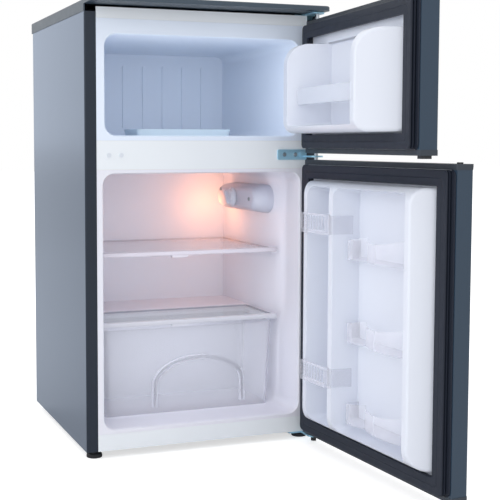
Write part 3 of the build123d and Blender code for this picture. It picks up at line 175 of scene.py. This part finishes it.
looks = {
    "shellPaint": dict(paint, colour=(18, 23, 31), shade=(20, 25, 33), roughness=(0.2, 0.24), grain=0.03, ior=1.5,
                       coat=1.0, coatRoughness=0.2, coatIor=1.2, coatTint=(216, 233, 255)),
    "doorSlate": dict(paint, colour=(37, 58, 78), shade=(40, 59, 76), roughness=(0.3, 0.38), grain=0.05),
    "worktopGrey": dict(rough, colour=(56, 70, 83), shade=(61, 75, 88), roughness=(0.35, 0.48)),
    "rearSheet": dict(paint, colour=(48, 52, 60), shade=(56, 60, 68), roughness=(0.4, 0.55)),
    "panMetal": dict(paint, colour=(120, 126, 134), shade=(138, 144, 152), roughness=(0.35, 0.55), metal=0.9),
    "frontWhite": dict(paint, colour=(238, 242, 246), shade=(235, 240, 245), roughness=(0.3, 0.4)),
    "linerWhite": dict(plastic, colour=(236, 236, 245), shade=(233, 234, 243), roughness=(0.28, 0.38)),
    "freezerWhite": dict(plastic, colour=(232, 241, 254), shade=(229, 238, 252), roughness=(0.28, 0.38)),
    "doorWhite": dict(plastic, colour=(224, 228, 238), shade=(220, 224, 235), roughness=(0.28, 0.38)),
    "foamCream": dict(rough, colour=(222, 204, 150), shade=(205, 186, 130), roughness=(0.8, 0.95)),
    "doorFoam": dict(rough, colour=(224, 226, 232), shade=(217, 219, 226), roughness=(0.5, 0.65), grain=0.1),
    "zincSteel": dict(paint, colour=(176, 220, 240), shade=(152, 200, 226), roughness=(0.3, 0.45), metal=0.5),
    "pinSteel": dict(paint, colour=(176, 182, 188), shade=(158, 164, 170), roughness=(0.2, 0.34), metal=1.0),
    "plugWhite": dict(plastic, colour=(224, 229, 236), shade=(218, 224, 232), roughness=(0.3, 0.4)),
    "stopBlack": dict(plastic, colour=(22, 24, 28), shade=(28, 30, 35), roughness=(0.35, 0.5)),
    "footBlack": dict(rough, colour=(26, 28, 33), shade=(34, 36, 41), roughness=(0.5, 0.65)),
    "capDark": dict(rough, colour=(40, 48, 58), shade=(46, 54, 64), roughness=(0.4, 0.52)),
    "evaporatorMetal": dict(paint, colour=(186, 190, 196), shade=(170, 174, 180), roughness=(0.3, 0.45), metal=1.0),
    "copper": dict(paint, colour=(186, 124, 94), shade=(158, 103, 78), roughness=(0.28, 0.45), metal=1.0),
    "systemBlack": dict(rough, colour=(24, 25, 28), shade=(34, 35, 38), roughness=(0.38, 0.55)),
    "grommetRubber": dict(rough, colour=(30, 30, 32), shade=(38, 38, 40), roughness=(0.7, 0.85)),
    "trayGrey": dict(plastic, colour=(120, 124, 130), shade=(110, 114, 120), roughness=(0.45, 0.6)),
    # greyer than the other whites: painted shade on the thermostat housing, its body and its cover
    "housingShadedWhite": dict(plastic, colour=(190, 192, 205), shade=(194, 197, 211), roughness=(0.3, 0.42)),
    "knobWhite": dict(plastic, colour=(216, 219, 231), shade=(200, 203, 215), roughness=(0.22, 0.32)),
    "holderCream": dict(plastic, colour=(230, 224, 208), shade=(222, 215, 198), roughness=(0.4, 0.5)),
    "screwSteel": dict(paint, colour=(170, 176, 182), shade=(150, 156, 162), roughness=(0.24, 0.4), metal=1.0),
    "iceTrayWhite": dict(plastic, colour=(206, 222, 232), shade=(200, 216, 227), roughness=(0.35, 0.48)),
    "railWhite": dict(plastic, colour=(228, 232, 242), shade=(224, 229, 240), roughness=(0.2, 0.3), alpha=(0.5, 0.85)),
    "trimWhite": dict(plastic, colour=(197, 191, 200), shade=(192, 187, 196), roughness=(0.26, 0.36)),
    "coverTrimWhite": dict(plastic, colour=(213, 213, 221), shade=(208, 209, 217), roughness=(0.26, 0.36)),
    "clearPlastic": dict(plastic, colour=(241, 241, 251), shade=(237, 238, 249), roughness=(0.05, 0.1),
                         alpha=(0.07, 0.6), grain=0.03),
    # edge colours below: glass edge tint together with painted shade of the gaps behind the panes
    "shelfGlass": dict(plastic, colour=(224, 224, 232), shade=(218, 218, 228), roughness=(0.02, 0.05),
                       alpha=(0.08, 0.5), grain=0.01, edge=(160, 156, 170), edgeShadeAlpha=0.6),
    "coverGlass": dict(plastic, colour=(214, 226, 230), shade=(208, 221, 226), roughness=(0.02, 0.05),
                       alpha=(0.08, 0.5), grain=0.01, edge=(126, 128, 146), edgeShadeAlpha=0.8),
    "lampGlow": dict(plastic, colour=(255, 236, 205), shade=(252, 231, 198), roughness=(0.3, 0.4), grain=0.02,
                     warmth=(255, 190, 120), glow=16.0),
    "gasketBlack": dict(rough, colour=(33, 39, 52), shade=(29, 35, 48), roughness=(0.45, 0.58), grain=0.1, ior=1.36),
}
mats = {name: finish(name, look) for name, look in looks.items()}
print("finishes made:", len(mats))

nodeFinish = {
    "shellPaint": ["outer_shell"],
    "doorSlate": ["fridge_door_skin", "freezer_door_skin"],
    "worktopGrey": ["worktop"],
    "rearSheet": ["rear_panel"],
    "panMetal": ["base_pan"],
    "frontWhite": ["top_rail", "mid_rail", "bottom_apron"],
    "linerWhite": ["fridge_liner"],
    "freezerWhite": ["freezer_liner"],
    "doorWhite": ["fridge_door_liner", "freezer_door_liner"],
    "foamCream": ["cabinet_foam"],
    "doorFoam": ["fridge_door_foam", "freezer_door_foam"],
    "zincSteel": ["top_hinge", "mid_hinge", "bottom_hinge"],
    "pinSteel": ["top_hinge_pin", "mid_hinge_pin", "hinge_screws"],
    "stopBlack": ["bottom_hinge_pin", "fridge_door_plugs", "freezer_door_plugs"],
    "plugWhite": ["hinge_hole_plugs"],
    "footBlack": ["front_foot_left", "front_foot_right", "rear_feet", "relay_box"],
    "capDark": ["fridge_door_top_cap", "fridge_door_bottom_cap", "freezer_door_top_cap", "freezer_door_bottom_cap"],
    "evaporatorMetal": ["evaporator"],
    "copper": ["suction_tube", "capillary_tube", "filter_drier"],
    "systemBlack": ["compressor", "condenser", "discharge_tube"],
    "grommetRubber": ["compressor_grommets"],
    "trayGrey": ["drip_tray"],
    "housingShadedWhite": ["thermostat_housing", "thermostat_body"],
    "knobWhite": ["thermostat_knob"],
    "holderCream": ["lamp_holder"],
    "screwSteel": ["housing_screws"],
    "iceTrayWhite": ["ice_tray"],
    "railWhite": ["freezer_door_rail"],
    "trimWhite": ["upper_shelf_trim"],
    "coverTrimWhite": ["crisper_cover_trim"],
    "clearPlastic": ["crisper_drawer", "can_racks", "bottle_retainers"],
    "shelfGlass": ["upper_shelf_glass"],
    "coverGlass": ["crisper_cover_glass"],
    "gasketBlack": ["fridge_door_gasket", "freezer_door_gasket"],
    "lampGlow": ["lamp_bulb"],
}
for finishName, names in nodeFinish.items():
    for name in names:
        mesh = nodes[name].data
        mesh.materials.clear()
        mesh.materials.append(mats[finishName])
print("finishes set on the frame's nodes")


# door seals: the bellows section carried round the door, drawn closed and swung to its rest place

sealLook = {  # mm across from the outer edge and up from the door
    "section": [(-7, 0), (23, 0), (24, 3), (23, 6), (25.5, 8), (25.5, 12.2), (24.5, 13.2), (13.4, 13.2),
                (12.8, 12.7), (12.2, 13.2), (1, 13.2), (0, 12.2), (0, 10.4), (3.6, 9.2), (3.6, 8.2), (0, 7),
                (0, 5.4), (3.6, 4.2), (3.6, 3), (-4.4, 0.8), (-5, 2.2), (-6.6, 2.2), (-7, 1.6)],
    "width": 25.5, "height": 13.2, "outerCorner": 8.0, "innerCorner": 2.0, "cornerSteps": 6, "sharp": 32.0,
}


def swing(joint, angle):  # turn about a door's hinge line
    pin = Vector(joint["pos_m"])
    return Matrix.Translation(pin) @ Matrix.Rotation(math.radians(angle), 4, "Z") @ Matrix.Translation(-pin)


def closedBox(node, joint):  # a door piece's box with its door closed
    toClosed = swing(joint, joint["range_deg"][0])
    spots = [toClosed @ v.co for v in nodes[node].data.vertices]
    return [min(p[i] for p in spots) for i in range(3)], [max(p[i] for p in spots) for i in range(3)]


def roundedLoop(low, high, corner, steps):  # x and z of a rounded oblong
    loop = []
    right, left = high[0] - corner, low[0] + corner
    top, bottom = high[2] - corner, low[2] + corner
    for turn, (x, z) in enumerate([(right, top), (left, top), (left, bottom), (right, bottom)]):
        for step in range(steps + 1):
            angle = math.radians(90 * (turn + step / steps))
            loop.append((x + corner * math.cos(angle), z + corner * math.sin(angle)))
    return loop


def newPiece(name, mesh, mat, body):  # a mesh as an object that rides on a body
    mesh.materials.clear()
    mesh.materials.append(mat)
    piece = bpy.data.objects.new(name, mesh)
    bpy.context.collection.objects.link(piece)
    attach(piece, body)
    return piece


def buildSeal(name, node, body, joint):
    look = sealLook
    low, high = closedBox(node, joint)
    toOpen = swing(joint, -joint["range_deg"][0])
    bm = bmesh.new()
    rings = []
    for across, up in look["section"]:
        inset = across / 1000
        part = across / look["width"]
        corner = (look["outerCorner"] + (look["innerCorner"] - look["outerCorner"]) * part) / 1000
        insetZ = max(inset, 0)  # the lip stands out on the upright sides alone, clear of the end caps
        lowIn = [low[0] + inset, 0, low[2] + insetZ]
        highIn = [high[0] - inset, 0, high[2] - insetZ]
        depth = low[1] + (high[1] - low[1]) * up / look["height"]
        loop = roundedLoop(lowIn, highIn, corner, look["cornerSteps"])
        rings.append([bm.verts.new(toOpen @ Vector((x, depth, z))) for x, z in loop])
    count = len(rings[0])
    for i, ring in enumerate(rings):
        following = rings[(i + 1) % len(rings)]
        for k in range(count):
            n = (k + 1) % count
            bm.faces.new((ring[k], ring[n], following[n], following[k]))
    bmesh.ops.recalc_face_normals(bm, faces=bm.faces)
    mesh = bpy.data.meshes.new(name)
    bm.to_mesh(mesh)
    bm.free()
    mesh.shade_smooth()
    mesh.set_sharp_from_angle(angle=math.radians(look["sharp"]))
    piece = newPiece(name, mesh, mats["gasketBlack"], body)
    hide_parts(node)


buildSeal("fridgeDoorSeal", "fridge_door_gasket", "fridge_door", joints["fridge_door_hinge"])
buildSeal("freezerDoorSeal", "freezer_door_gasket", "freezer_door", joints["freezer_door_hinge"])
print("door seals made")


# screws: one tree makes a cross-head screw and sets it on each point, along the point's own axis

def treeWith(name, inputs):
    tree = bpy.data.node_groups.new(name, "GeometryNodeTree")
    tree.is_modifier = True
    tree.interface.new_socket(name="Geometry", in_out="INPUT", socket_type="NodeSocketGeometry")
    tree.interface.new_socket(name="Geometry", in_out="OUTPUT", socket_type="NodeSocketGeometry")
    ids = {}
    for label, kind in inputs.items():
        ids[label] = tree.interface.new_socket(name=label, in_out="INPUT", socket_type=kind).identifier
    return tree, ids, addNode(tree, "NodeGroupInput"), addNode(tree, "NodeGroupOutput")


def vectorOf(tree, x, y, z):
    node = addNode(tree, "ShaderNodeCombineXYZ")
    for socket, value in zip(node.inputs, (x, y, z)):
        feed(tree, socket, value)
    return node.outputs[0]


def moved(tree, geometry, socket, value):  # geometry shifted or scaled by a vector
    node = addNode(tree, "GeometryNodeTransform")
    tree.links.new(geometry, node.inputs["Geometry"])
    tree.links.new(value, node.inputs[socket])
    return node.outputs["Geometry"]


def setAndPaint(tree, start, end, points, item, turn):  # one item on each point, made real and given its finish
    link = tree.links.new
    setOn = addNode(tree, "GeometryNodeInstanceOnPoints")
    link(points, setOn.inputs["Points"])
    link(item, setOn.inputs["Instance"])
    link(turn, setOn.inputs["Rotation"])
    real = addNode(tree, "GeometryNodeRealizeInstances")
    link(setOn.outputs["Instances"], real.inputs["Geometry"])
    coat = addNode(tree, "GeometryNodeSetMaterial")
    link(real.outputs["Geometry"], coat.inputs["Geometry"])
    link(start.outputs["Finish"], coat.inputs["Material"])
    link(coat.outputs["Geometry"], end.inputs["Geometry"])


floatInput = "NodeSocketFloat"
screwLook = {
    "headSides": 28, "headTop": 0.68, "shankSides": 16,
    "arms": ((1.1, 0.24, 0.95), (0.24, 1.1, 0.92)),  # shares of the head's radius and height, one arm a hair deeper
    "merge": 1e-6, "endSlack": 1e-5, "headShare": 0.9,  # for reading a screw's sizes off its solid
}


def screwTree():
    look = screwLook
    tree, ids, start, end = treeWith("crossHeadScrews", {
        "Head radius": floatInput, "Head height": floatInput, "Shank radius": floatInput,
        "Shank length": floatInput, "Finish": "NodeSocketMaterial"})
    link = tree.links.new
    radius = start.outputs["Head radius"]
    height = start.outputs["Head height"]
    length = start.outputs["Shank length"]
    head = addNode(tree, "GeometryNodeMeshCone")
    head.inputs["Vertices"].default_value = look["headSides"]
    link(mathNode(tree, "MULTIPLY", radius, look["headTop"]), head.inputs["Radius Top"])
    link(radius, head.inputs["Radius Bottom"])
    link(height, head.inputs["Depth"])
    cut = addNode(tree, "GeometryNodeMeshBoolean", operation="DIFFERENCE")
    link(head.outputs["Mesh"], cut.inputs["Mesh 1"])
    for long, wide, rise in look["arms"]:
        arm = addNode(tree, "GeometryNodeMeshCube")
        armX = mathNode(tree, "MULTIPLY", radius, long)
        armY = mathNode(tree, "MULTIPLY", radius, wide)
        link(vectorOf(tree, armX, armY, height), arm.inputs["Size"])
        lift = vectorOf(tree, 0, 0, mathNode(tree, "MULTIPLY", height, rise))
        link(moved(tree, arm.outputs["Mesh"], "Translation", lift), cut.inputs["Mesh 2"])
    shank = addNode(tree, "GeometryNodeMeshCylinder")
    shank.inputs["Vertices"].default_value = look["shankSides"]
    link(start.outputs["Shank radius"], shank.inputs["Radius"])
    link(length, shank.inputs["Depth"])
    sink = vectorOf(tree, 0, 0, mathNode(tree, "MULTIPLY", length, -0.5))
    screw = addNode(tree, "GeometryNodeJoinGeometry")
    link(cut.outputs["Mesh"], screw.inputs["Geometry"])
    link(moved(tree, shank.outputs["Mesh"], "Translation", sink), screw.inputs["Geometry"])
    axis = addNode(tree, "GeometryNodeInputNamedAttribute", data_type="FLOAT_VECTOR")
    axis.inputs["Name"].default_value = "axis"
    align = addNode(tree, "FunctionNodeAlignRotationToVector", axis="Z")
    link(axis.outputs["Attribute"], align.inputs["Vector"])
    setAndPaint(tree, start, end, start.outputs["Geometry"], screw.outputs["Geometry"], align.outputs["Rotation"])
    return tree, ids


screws = screwTree()


def runTree(name, base, treeAndIds, values):  # a tree's result as a plain mesh
    tree, ids = treeAndIds
    holder = bpy.data.objects.new(name + "Base", base)
    bpy.context.collection.objects.link(holder)
    modifier = holder.modifiers.new("tree", "NODES")
    modifier.node_group = tree
    for label, value in values.items():
        modifier[ids[label]] = value
    graph = bpy.context.evaluated_depsgraph_get()
    mesh = bpy.data.meshes.new_from_object(holder.evaluated_get(graph))
    holder.modifiers.clear()
    bpy.data.objects.remove(holder)
    mesh.name = name
    return mesh


def islands(node):  # each solid of a node as a list of points
    bm = bmesh.new()
    bm.from_mesh(nodes[node].data)
    bmesh.ops.remove_doubles(bm, verts=bm.verts, dist=screwLook["merge"])
    left = set(bm.verts)
    groups = []
    while left:
        stack = [left.pop()]
        group = []
        while stack:
            vert = stack.pop()
            group.append(vert.co.copy())
            for edge in vert.link_edges:
                other = edge.other_vert(vert)
                if other in left:
                    left.remove(other)
                    stack.append(other)
        groups.append(group)
    bm.free()
    return groups


def screwPlace(points):  # seat, axis towards the head, and sizes of one screw solid
    low = [min(p[i] for p in points) for i in range(3)]
    high = [max(p[i] for p in points) for i in range(3)]
    size = [h - l for h, l in zip(high, low)]
    along = size.index(max(size))
    first, second = [i for i in range(3) if i != along]
    middle = [(h + l) / 2 for h, l in zip(high, low)]

    def offAxis(p):
        return math.hypot(p[first] - middle[first], p[second] - middle[second])

    def endRadius(end):
        return max(offAxis(p) for p in points if abs(p[along] - end) < screwLook["endSlack"])

    headHigh = endRadius(high[along]) > endRadius(low[along])
    headEnd, tipEnd = (high[along], low[along]) if headHigh else (low[along], high[along])
    radius = max(size[first], size[second]) / 2
    wide = [p[along] for p in points if offAxis(p) > screwLook["headShare"] * radius]
    seatAt = min(wide) if headHigh else max(wide)  # the head's underside
    seat = list(middle)
    seat[along] = seatAt
    axis = [0.0, 0.0, 0.0]
    axis[along] = 1.0 if headHigh else -1.0
    return {"seat": seat, "axis": axis, "radius": radius, "height": abs(headEnd - seatAt),
            "shank": abs(tipEnd - seatAt), "thin": endRadius(tipEnd)}


def screwMesh(name, places, mat):
    base = bpy.data.meshes.new(name + "Points")
    base.from_pydata([p["seat"] for p in places], [], [])
    axes = base.attributes.new("axis", "FLOAT_VECTOR", "POINT")
    for item, place in zip(axes.data, places):
        item.vector = place["axis"]
    first = places[0]  # the screws of one node are all alike
    return runTree(name, base, screws, {
        "Head radius": first["radius"], "Head height": first["height"], "Shank radius": first["thin"],
        "Shank length": first["shank"], "Finish": mat})


def buildScrews(name, node):
    places = [screwPlace(group) for group in islands(node)]
    print(name, len(places), "screws, heads of", round(places[0]["radius"] * 1000, 2), "mm radius")
    mesh = screwMesh(name, places, mats["screwSteel"])
    piece = newPiece(name, mesh, mats["screwSteel"], "cabinet")
    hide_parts(node)


buildScrews("hingeScrews", "hinge_screws")
buildScrews("housingScrews", "housing_screws")
print("screws made")


# thermostat cover: a rounded oval shell over the lamp and the thermostat

coverLook = {"shoulder": 15.0, "rings": 9, "arcSteps": 16, "sharp": 40.0,
             "glowFrom": 0.318, "glowTo": 0.338, "glow": 1.1, "warmth": (255, 226, 178)}


def ovalLoop(low, high, inset, steps):  # y and z of an oval with round ends
    radius = (high.z - low.z) / 2 - inset
    middle = (high.z + low.z) / 2
    loop = []
    for turn, centre in ((0, high.y - inset - radius), (1, low.y + inset + radius)):
        for step in range(steps + 1):
            angle = math.radians(-90 + 180 * step / steps + 180 * turn)
            loop.append((centre + radius * math.cos(angle), middle + radius * math.sin(angle)))
    return loop


def ringsToMesh(name, rings, sharp):  # rings of points joined into a closed skin
    bm = bmesh.new()
    rows = [[bm.verts.new(p) for p in ring] for ring in rings]
    count = len(rows[0])
    for row, following in zip(rows, rows[1:]):
        for k in range(count):
            n = (k + 1) % count
            bm.faces.new((row[k], row[n], following[n], following[k]))
    bm.faces.new(rows[0])
    bm.faces.new(rows[-1])
    bmesh.ops.recalc_face_normals(bm, faces=bm.faces)
    mesh = bpy.data.meshes.new(name)
    bm.to_mesh(mesh)
    bm.free()
    mesh.shade_smooth()
    mesh.set_sharp_from_angle(angle=math.radians(sharp))
    return mesh


def coverFinish():  # white plastic, darkened to a painted shade, that glows warm where the lamp sits behind it
    look = coverLook
    mat = finish("coverWhite", looks["housingShadedWhite"])
    tree = mat.node_tree
    shader = tree.nodes["Principled BSDF"]
    place = addNode(tree, "ShaderNodeTexCoord")
    parts = addNode(tree, "ShaderNodeSeparateXYZ")
    tree.links.new(place.outputs["Object"], parts.inputs[0])
    ramp = addNode(tree, "ShaderNodeMapRange")
    ramp.inputs["From Min"].default_value = look["glowFrom"]
    ramp.inputs["From Max"].default_value = look["glowTo"]
    ramp.inputs["To Max"].default_value = look["glow"]
    tree.links.new(parts.outputs["Y"], ramp.inputs["Value"])
    tree.links.new(ramp.outputs["Result"], shader.inputs["Emission Strength"])
    shader.inputs["Emission Color"].default_value = linear(look["warmth"])
    return mat


def buildCover():
    look = coverLook
    low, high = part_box("thermostat_housing")
    rings = []
    for step in range(look["rings"] + 1):
        angle = math.radians(90 * step / look["rings"])
        inset = look["shoulder"] / 1000 * (1 - math.cos(angle))
        x = high.x + (low.x - high.x) * math.sin(angle)
        rings.append([(x, y, z) for y, z in ovalLoop(low, high, inset, look["arcSteps"])])
    mats["coverWhite"] = coverFinish()
    mesh = ringsToMesh("thermostatCover", rings, look["sharp"])
    piece = newPiece("thermostatCover", mesh, mats["coverWhite"], "cabinet")
    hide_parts("thermostat_housing")


buildCover()
print("thermostat cover made")


# dial: a turned drum with a slanting grip, and fine ridges round its skirt

dialLook = {  # mm and degrees
    "skirt": 20.6, "drum": 17.5, "steps": 48, "sharp": 35.0, "gap": 0.4,
    "skirtProfile": [(-0.6, 0), (0, 0.6), (0, 3.6), (-0.8, 4.4)],  # off the skirt's radius, up from the foot
    "drumProfile": [(0.6, 5), (0, 5.6)],  # off the drum's radius, up from the foot
    "faceProfile": [(-0.6, -1.4), (-1.2, -0.4), (-2.4, 0)],  # off the drum's radius, up from the face
    "grip": (33.0, 6.5, 7.0), "gripTurn": 35.0, "gripEdge": 1.8, "gripSegments": 4, "gripSink": 0.2,
    "ridges": 40, "ridge": (0.5, 3.2, 0.9), "ridgeLevel": 2.1,
}


def turnedRings(profile, steps):  # radius and height pairs turned about the z axis
    angles = [2 * math.pi * k / steps for k in range(steps)]
    return [[(radius * math.cos(a), radius * math.sin(a), height) for a in angles] for radius, height in profile]


def ridgeTree():  # bars set round a circle
    tree, ids, start, end = treeWith("ridgeRing", {
        "Radius": floatInput, "Count": "NodeSocketInt", "Depth": floatInput, "Height": floatInput,
        "Width": floatInput, "Level": floatInput, "Finish": "NodeSocketMaterial"})
    link = tree.links.new
    circle = addNode(tree, "GeometryNodeMeshCircle")
    link(start.outputs["Count"], circle.inputs["Vertices"])
    link(start.outputs["Radius"], circle.inputs["Radius"])
    raised = moved(tree, circle.outputs["Mesh"], "Translation", vectorOf(tree, 0, 0, start.outputs["Level"]))
    bar = addNode(tree, "GeometryNodeMeshCylinder")
    bar.inputs["Vertices"].default_value = 6
    link(start.outputs["Width"], bar.inputs["Radius"])
    link(start.outputs["Height"], bar.inputs["Depth"])
    flat = moved(tree, bar.outputs["Mesh"], "Scale", vectorOf(tree, start.outputs["Depth"], 1, 1))
    spot = addNode(tree, "GeometryNodeInputPosition")
    outwards = addNode(tree, "ShaderNodeVectorMath", operation="MULTIPLY")
    outwards.inputs[1].default_value = (1, 1, 0)
    link(spot.outputs["Position"], outwards.inputs[0])
    align = addNode(tree, "FunctionNodeAlignRotationToVector", axis="X", pivot_axis="Z")
    link(outwards.outputs[0], align.inputs["Vector"])
    setAndPaint(tree, start, end, raised, flat, align.outputs["Rotation"])
    return tree, ids


ridges = ridgeTree()


def ridgeMesh(name, radius, count, bar, level, mat):
    return runTree(name, bpy.data.meshes.new(name + "Base"), ridges, {
        "Radius": radius, "Count": count, "Depth": bar[0], "Height": bar[1] / 1000, "Width": bar[2] / 1000,
        "Level": level, "Finish": mat})


def gripBar(look):  # a bar with rounded top edges, standing on the drum's face
    length, width, rise = [v / 1000 for v in look["grip"]]
    bm = bmesh.new()
    bmesh.ops.create_cube(bm, size=1.0)
    bmesh.ops.scale(bm, vec=(length, width, rise), verts=bm.verts)
    bmesh.ops.translate(bm, vec=(0, 0, rise / 2), verts=bm.verts)
    edges = [e for e in bm.edges if max(v.co.z for v in e.verts) > 0]
    bmesh.ops.bevel(bm, geom=edges, offset=look["gripEdge"] / 1000, segments=look["gripSegments"], profile=0.5,
                    affect="EDGES")
    turn = Matrix.Rotation(math.radians(look["gripTurn"]), 3, "Z")
    bmesh.ops.rotate(bm, cent=(0, 0, 0), matrix=turn, verts=bm.verts)
    return bm


def dialProfile(look, face):  # radius and height pairs of the drum, in metres
    wide, drum = look["skirt"], look["drum"]
    pairs = [(wide + out, up) for out, up in look["skirtProfile"]]
    pairs += [(drum + out, up) for out, up in look["drumProfile"]]
    pairs += [(drum + out, face * 1000 + up) for out, up in look["faceProfile"]]
    return [(radius / 1000, height / 1000) for radius, height in pairs]


def buildDial():
    look = dialLook
    pin = Vector(joints["thermostat_turn"]["pos_m"])
    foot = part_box("thermostat_housing")[0].x - look["gap"] / 1000
    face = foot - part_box("thermostat_knob")[0].x - look["grip"][2] / 1000
    mesh = ringsToMesh("thermostatDial", turnedRings(dialProfile(look, face), look["steps"]), look["sharp"])
    bm = gripBar(look)
    bmesh.ops.translate(bm, vec=(0, 0, face - look["gripSink"] / 1000), verts=bm.verts)
    bm.from_mesh(mesh)
    bm.to_mesh(mesh)
    bm.free()
    ring = ridgeMesh("dialRidges", look["skirt"] / 1000, look["ridges"], look["ridge"], look["ridgeLevel"] / 1000,
                     mats["knobWhite"])
    towards = Matrix.Translation((foot, pin.y, pin.z)) @ Matrix.Rotation(math.radians(-90), 4, "Y")
    for part in (mesh, ring):
        part.transform(towards)
    dial = newPiece("thermostatDial", mesh, mats["knobWhite"], "thermostat_knob_body")
    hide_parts("thermostat_knob")
    newPiece("dialRidges", ring, mats["knobWhite"], "thermostat_knob_body")


buildDial()
print("dial made")


# grip ridges round the pads of the two front feet

footLook = {"ridges": 30, "ridge": (0.6, 3.4, 0.7), "level": 0.0026}


def buildFootRidges(name, node, body):
    spots = [v.co for v in nodes[node].data.vertices if v.co.z < footLook["level"]]
    low = Vector([min(p[i] for p in spots) for i in range(3)])
    high = Vector([max(p[i] for p in spots) for i in range(3)])
    radius = (high.x - low.x) / 2
    mesh = ridgeMesh(name, radius, footLook["ridges"], footLook["ridge"], footLook["level"], mats["footBlack"])
    mesh.transform(Matrix.Translation(((low.x + high.x) / 2, (low.y + high.y) / 2, 0)))
    newPiece(name, mesh, mats["footBlack"], body)


buildFootRidges("footRidgesLeft", "front_foot_left", "foot_left")
buildFootRidges("footRidgesRight", "front_foot_right", "foot_right")
print("foot ridges made")


# stage: floor, world, lamps and camera

stageLook = {"floorSize": 40.0, "floorTone": 0.82, "floorRoughness": 0.9, "floorLift": 0.6, "floorGloss": 0.08,
             "worldLevel": 0.95}


def raysSeen(tree, forCamera, forGloss):  # level for rays that meet the white background
    path = addNode(tree, "ShaderNodeLightPath")
    mirrored = mathNode(tree, "MAXIMUM", path.outputs["Is Glossy Ray"], path.outputs["Is Transmission Ray"])
    camera = mathNode(tree, "MULTIPLY", path.outputs["Is Camera Ray"], forCamera)
    return mathNode(tree, "MAXIMUM", camera, mathNode(tree, "MULTIPLY", mirrored, forGloss))


def buildFloor():
    mesh = bpy.data.meshes.new("studioFloor")
    half = stageLook["floorSize"] / 2
    mesh.from_pydata([(-half, -half, 0), (half, -half, 0), (half, half, 0), (-half, half, 0)], [], [(0, 1, 2, 3)])
    floor = bpy.data.objects.new("studioFloor", mesh)
    bpy.context.collection.objects.link(floor)
    mat, tree, shader = newMaterial("floorWhite")
    tone = stageLook["floorTone"]
    shader.inputs["Base Color"].default_value = (tone, tone, tone, 1)
    shader.inputs["Roughness"].default_value = stageLook["floorRoughness"]
    shader.inputs["Specular IOR Level"].default_value = 0.0
    shader.inputs["Emission Color"].default_value = (1, 1, 1, 1)
    lift = raysSeen(tree, stageLook["floorLift"], stageLook["floorGloss"])
    tree.links.new(lift, shader.inputs["Emission Strength"])
    mesh.materials.append(mat)


def buildWorld():
    world = bpy.data.worlds.new("studioWorld")
    bpy.context.scene.world = world
    world.use_nodes = True
    tree = world.node_tree
    back = tree.nodes["Background"]
    back.inputs["Color"].default_value = (1, 1, 1, 1)
    level = mathNode(tree, "MAXIMUM", raysSeen(tree, 1.0, 1.0), stageLook["worldLevel"])
    tree.links.new(level, back.inputs["Strength"])


studioLamps = {
    "frontLamp": {"place": (-1.1, -3.2, 0.9), "aim": (0.0, 0.0, 0.45), "size": (2.2, 2.2), "power": 11.0},
    "leftLamp": {"place": (-2.9, -0.9, 1.4), "aim": (0.0, 0.0, 0.45), "size": (2.2, 2.2), "power": 18.0},
    "topLamp": {"place": (0.0, -0.8, 3.4), "aim": (0.0, 0.0, 0.45), "size": (2.2, 2.2), "power": 8.0},
    "rearLamp": {"place": (-1.2, 4.1, 1.25), "aim": (-0.235, 0.2, 0.75), "size": (2.4, 1.4), "power": 2.6},
    "shelfFill": {"place": (0.0, 0.05, 0.385), "aim": (0.0, 1.0, 0.385), "size": (0.36, 0.27), "power": 0.2},
    "crisperFill": {"place": (0.0, 0.078, 0.145), "aim": (0.0, 1.0, 0.145), "size": (0.34, 0.16), "power": 0.215},
    "doorFill": {"place": (0.02, -0.3, 0.3), "aim": (0.3, -0.3, 0.3), "size": (0.34, 0.5), "power": 0.12},
    "pocketFill": {"place": (0.0, -0.22, 0.7), "aim": (0.3, -0.22, 0.7), "size": (0.26, 0.18), "power": 0.045},
    "freezerFill": {"place": (0.0, -0.004, 0.7), "aim": (0.0, 1.0, 0.7), "size": (0.37, 0.16), "power": 0.13},
}
lampColour = (245, 249, 255)
fridgeGlow = {"place": (0.147, 0.312, 0.456), "size": 0.03, "power": 0.24, "colour": (255, 164, 108)}


def buildGlow():  # light of the fridge's own lamp, behind the housing's rear end
    light = bpy.data.lights.new("fridgeGlow", "POINT")
    light.shadow_soft_size = fridgeGlow["size"]
    light.energy = fridgeGlow["power"]
    light.color = linear(fridgeGlow["colour"])[:3]
    lamp = bpy.data.objects.new("fridgeGlow", light)
    lamp.location = fridgeGlow["place"]
    lamp.visible_glossy = False  # no round light mirrored in the glass
    bpy.context.collection.objects.link(lamp)


def buildLamps():
    for name, look in studioLamps.items():
        light = bpy.data.lights.new(name, "AREA")
        light.shape = "RECTANGLE"
        light.size, light.size_y = look["size"]
        light.energy = look["power"]
        light.color = linear(lampColour)[:3]
        lamp = bpy.data.objects.new(name, light)
        lamp.location = look["place"]
        lamp.rotation_euler = (Vector(look["aim"]) - lamp.location).to_track_quat("-Z", "Y").to_euler()
        bpy.context.collection.objects.link(lamp)
        lamp.visible_camera = False
        lamp.visible_glossy = name.endswith("Lamp")
        lamp.visible_transmission = False


cameraLook = {"place": (-0.73840, -1.88108, 0.59002), "turn": 20.280, "dip": 4.248,
              "focal": 1062.89, "centre": (183.594, 221.997), "frame": 500.0, "sensor": 36.0}


def buildCamera():
    look = cameraLook
    data = bpy.data.cameras.new("photoCamera")
    data.sensor_width = look["sensor"]
    data.lens = look["focal"] / look["frame"] * look["sensor"]
    data.shift_x = 0.5 - look["centre"][0] / look["frame"]
    data.shift_y = look["centre"][1] / look["frame"] - 0.5
    camera = bpy.data.objects.new("photoCamera", data)
    camera.location = look["place"]
    camera.rotation_euler = (math.radians(90 - look["dip"]), 0, math.radians(-look["turn"]))
    bpy.context.collection.objects.link(camera)
    bpy.context.scene.camera = camera


buildFloor()
buildWorld()
buildLamps()
buildGlow()
buildCamera()
bpy.context.scene.view_settings.view_transform = "Standard"
print("stage ready")
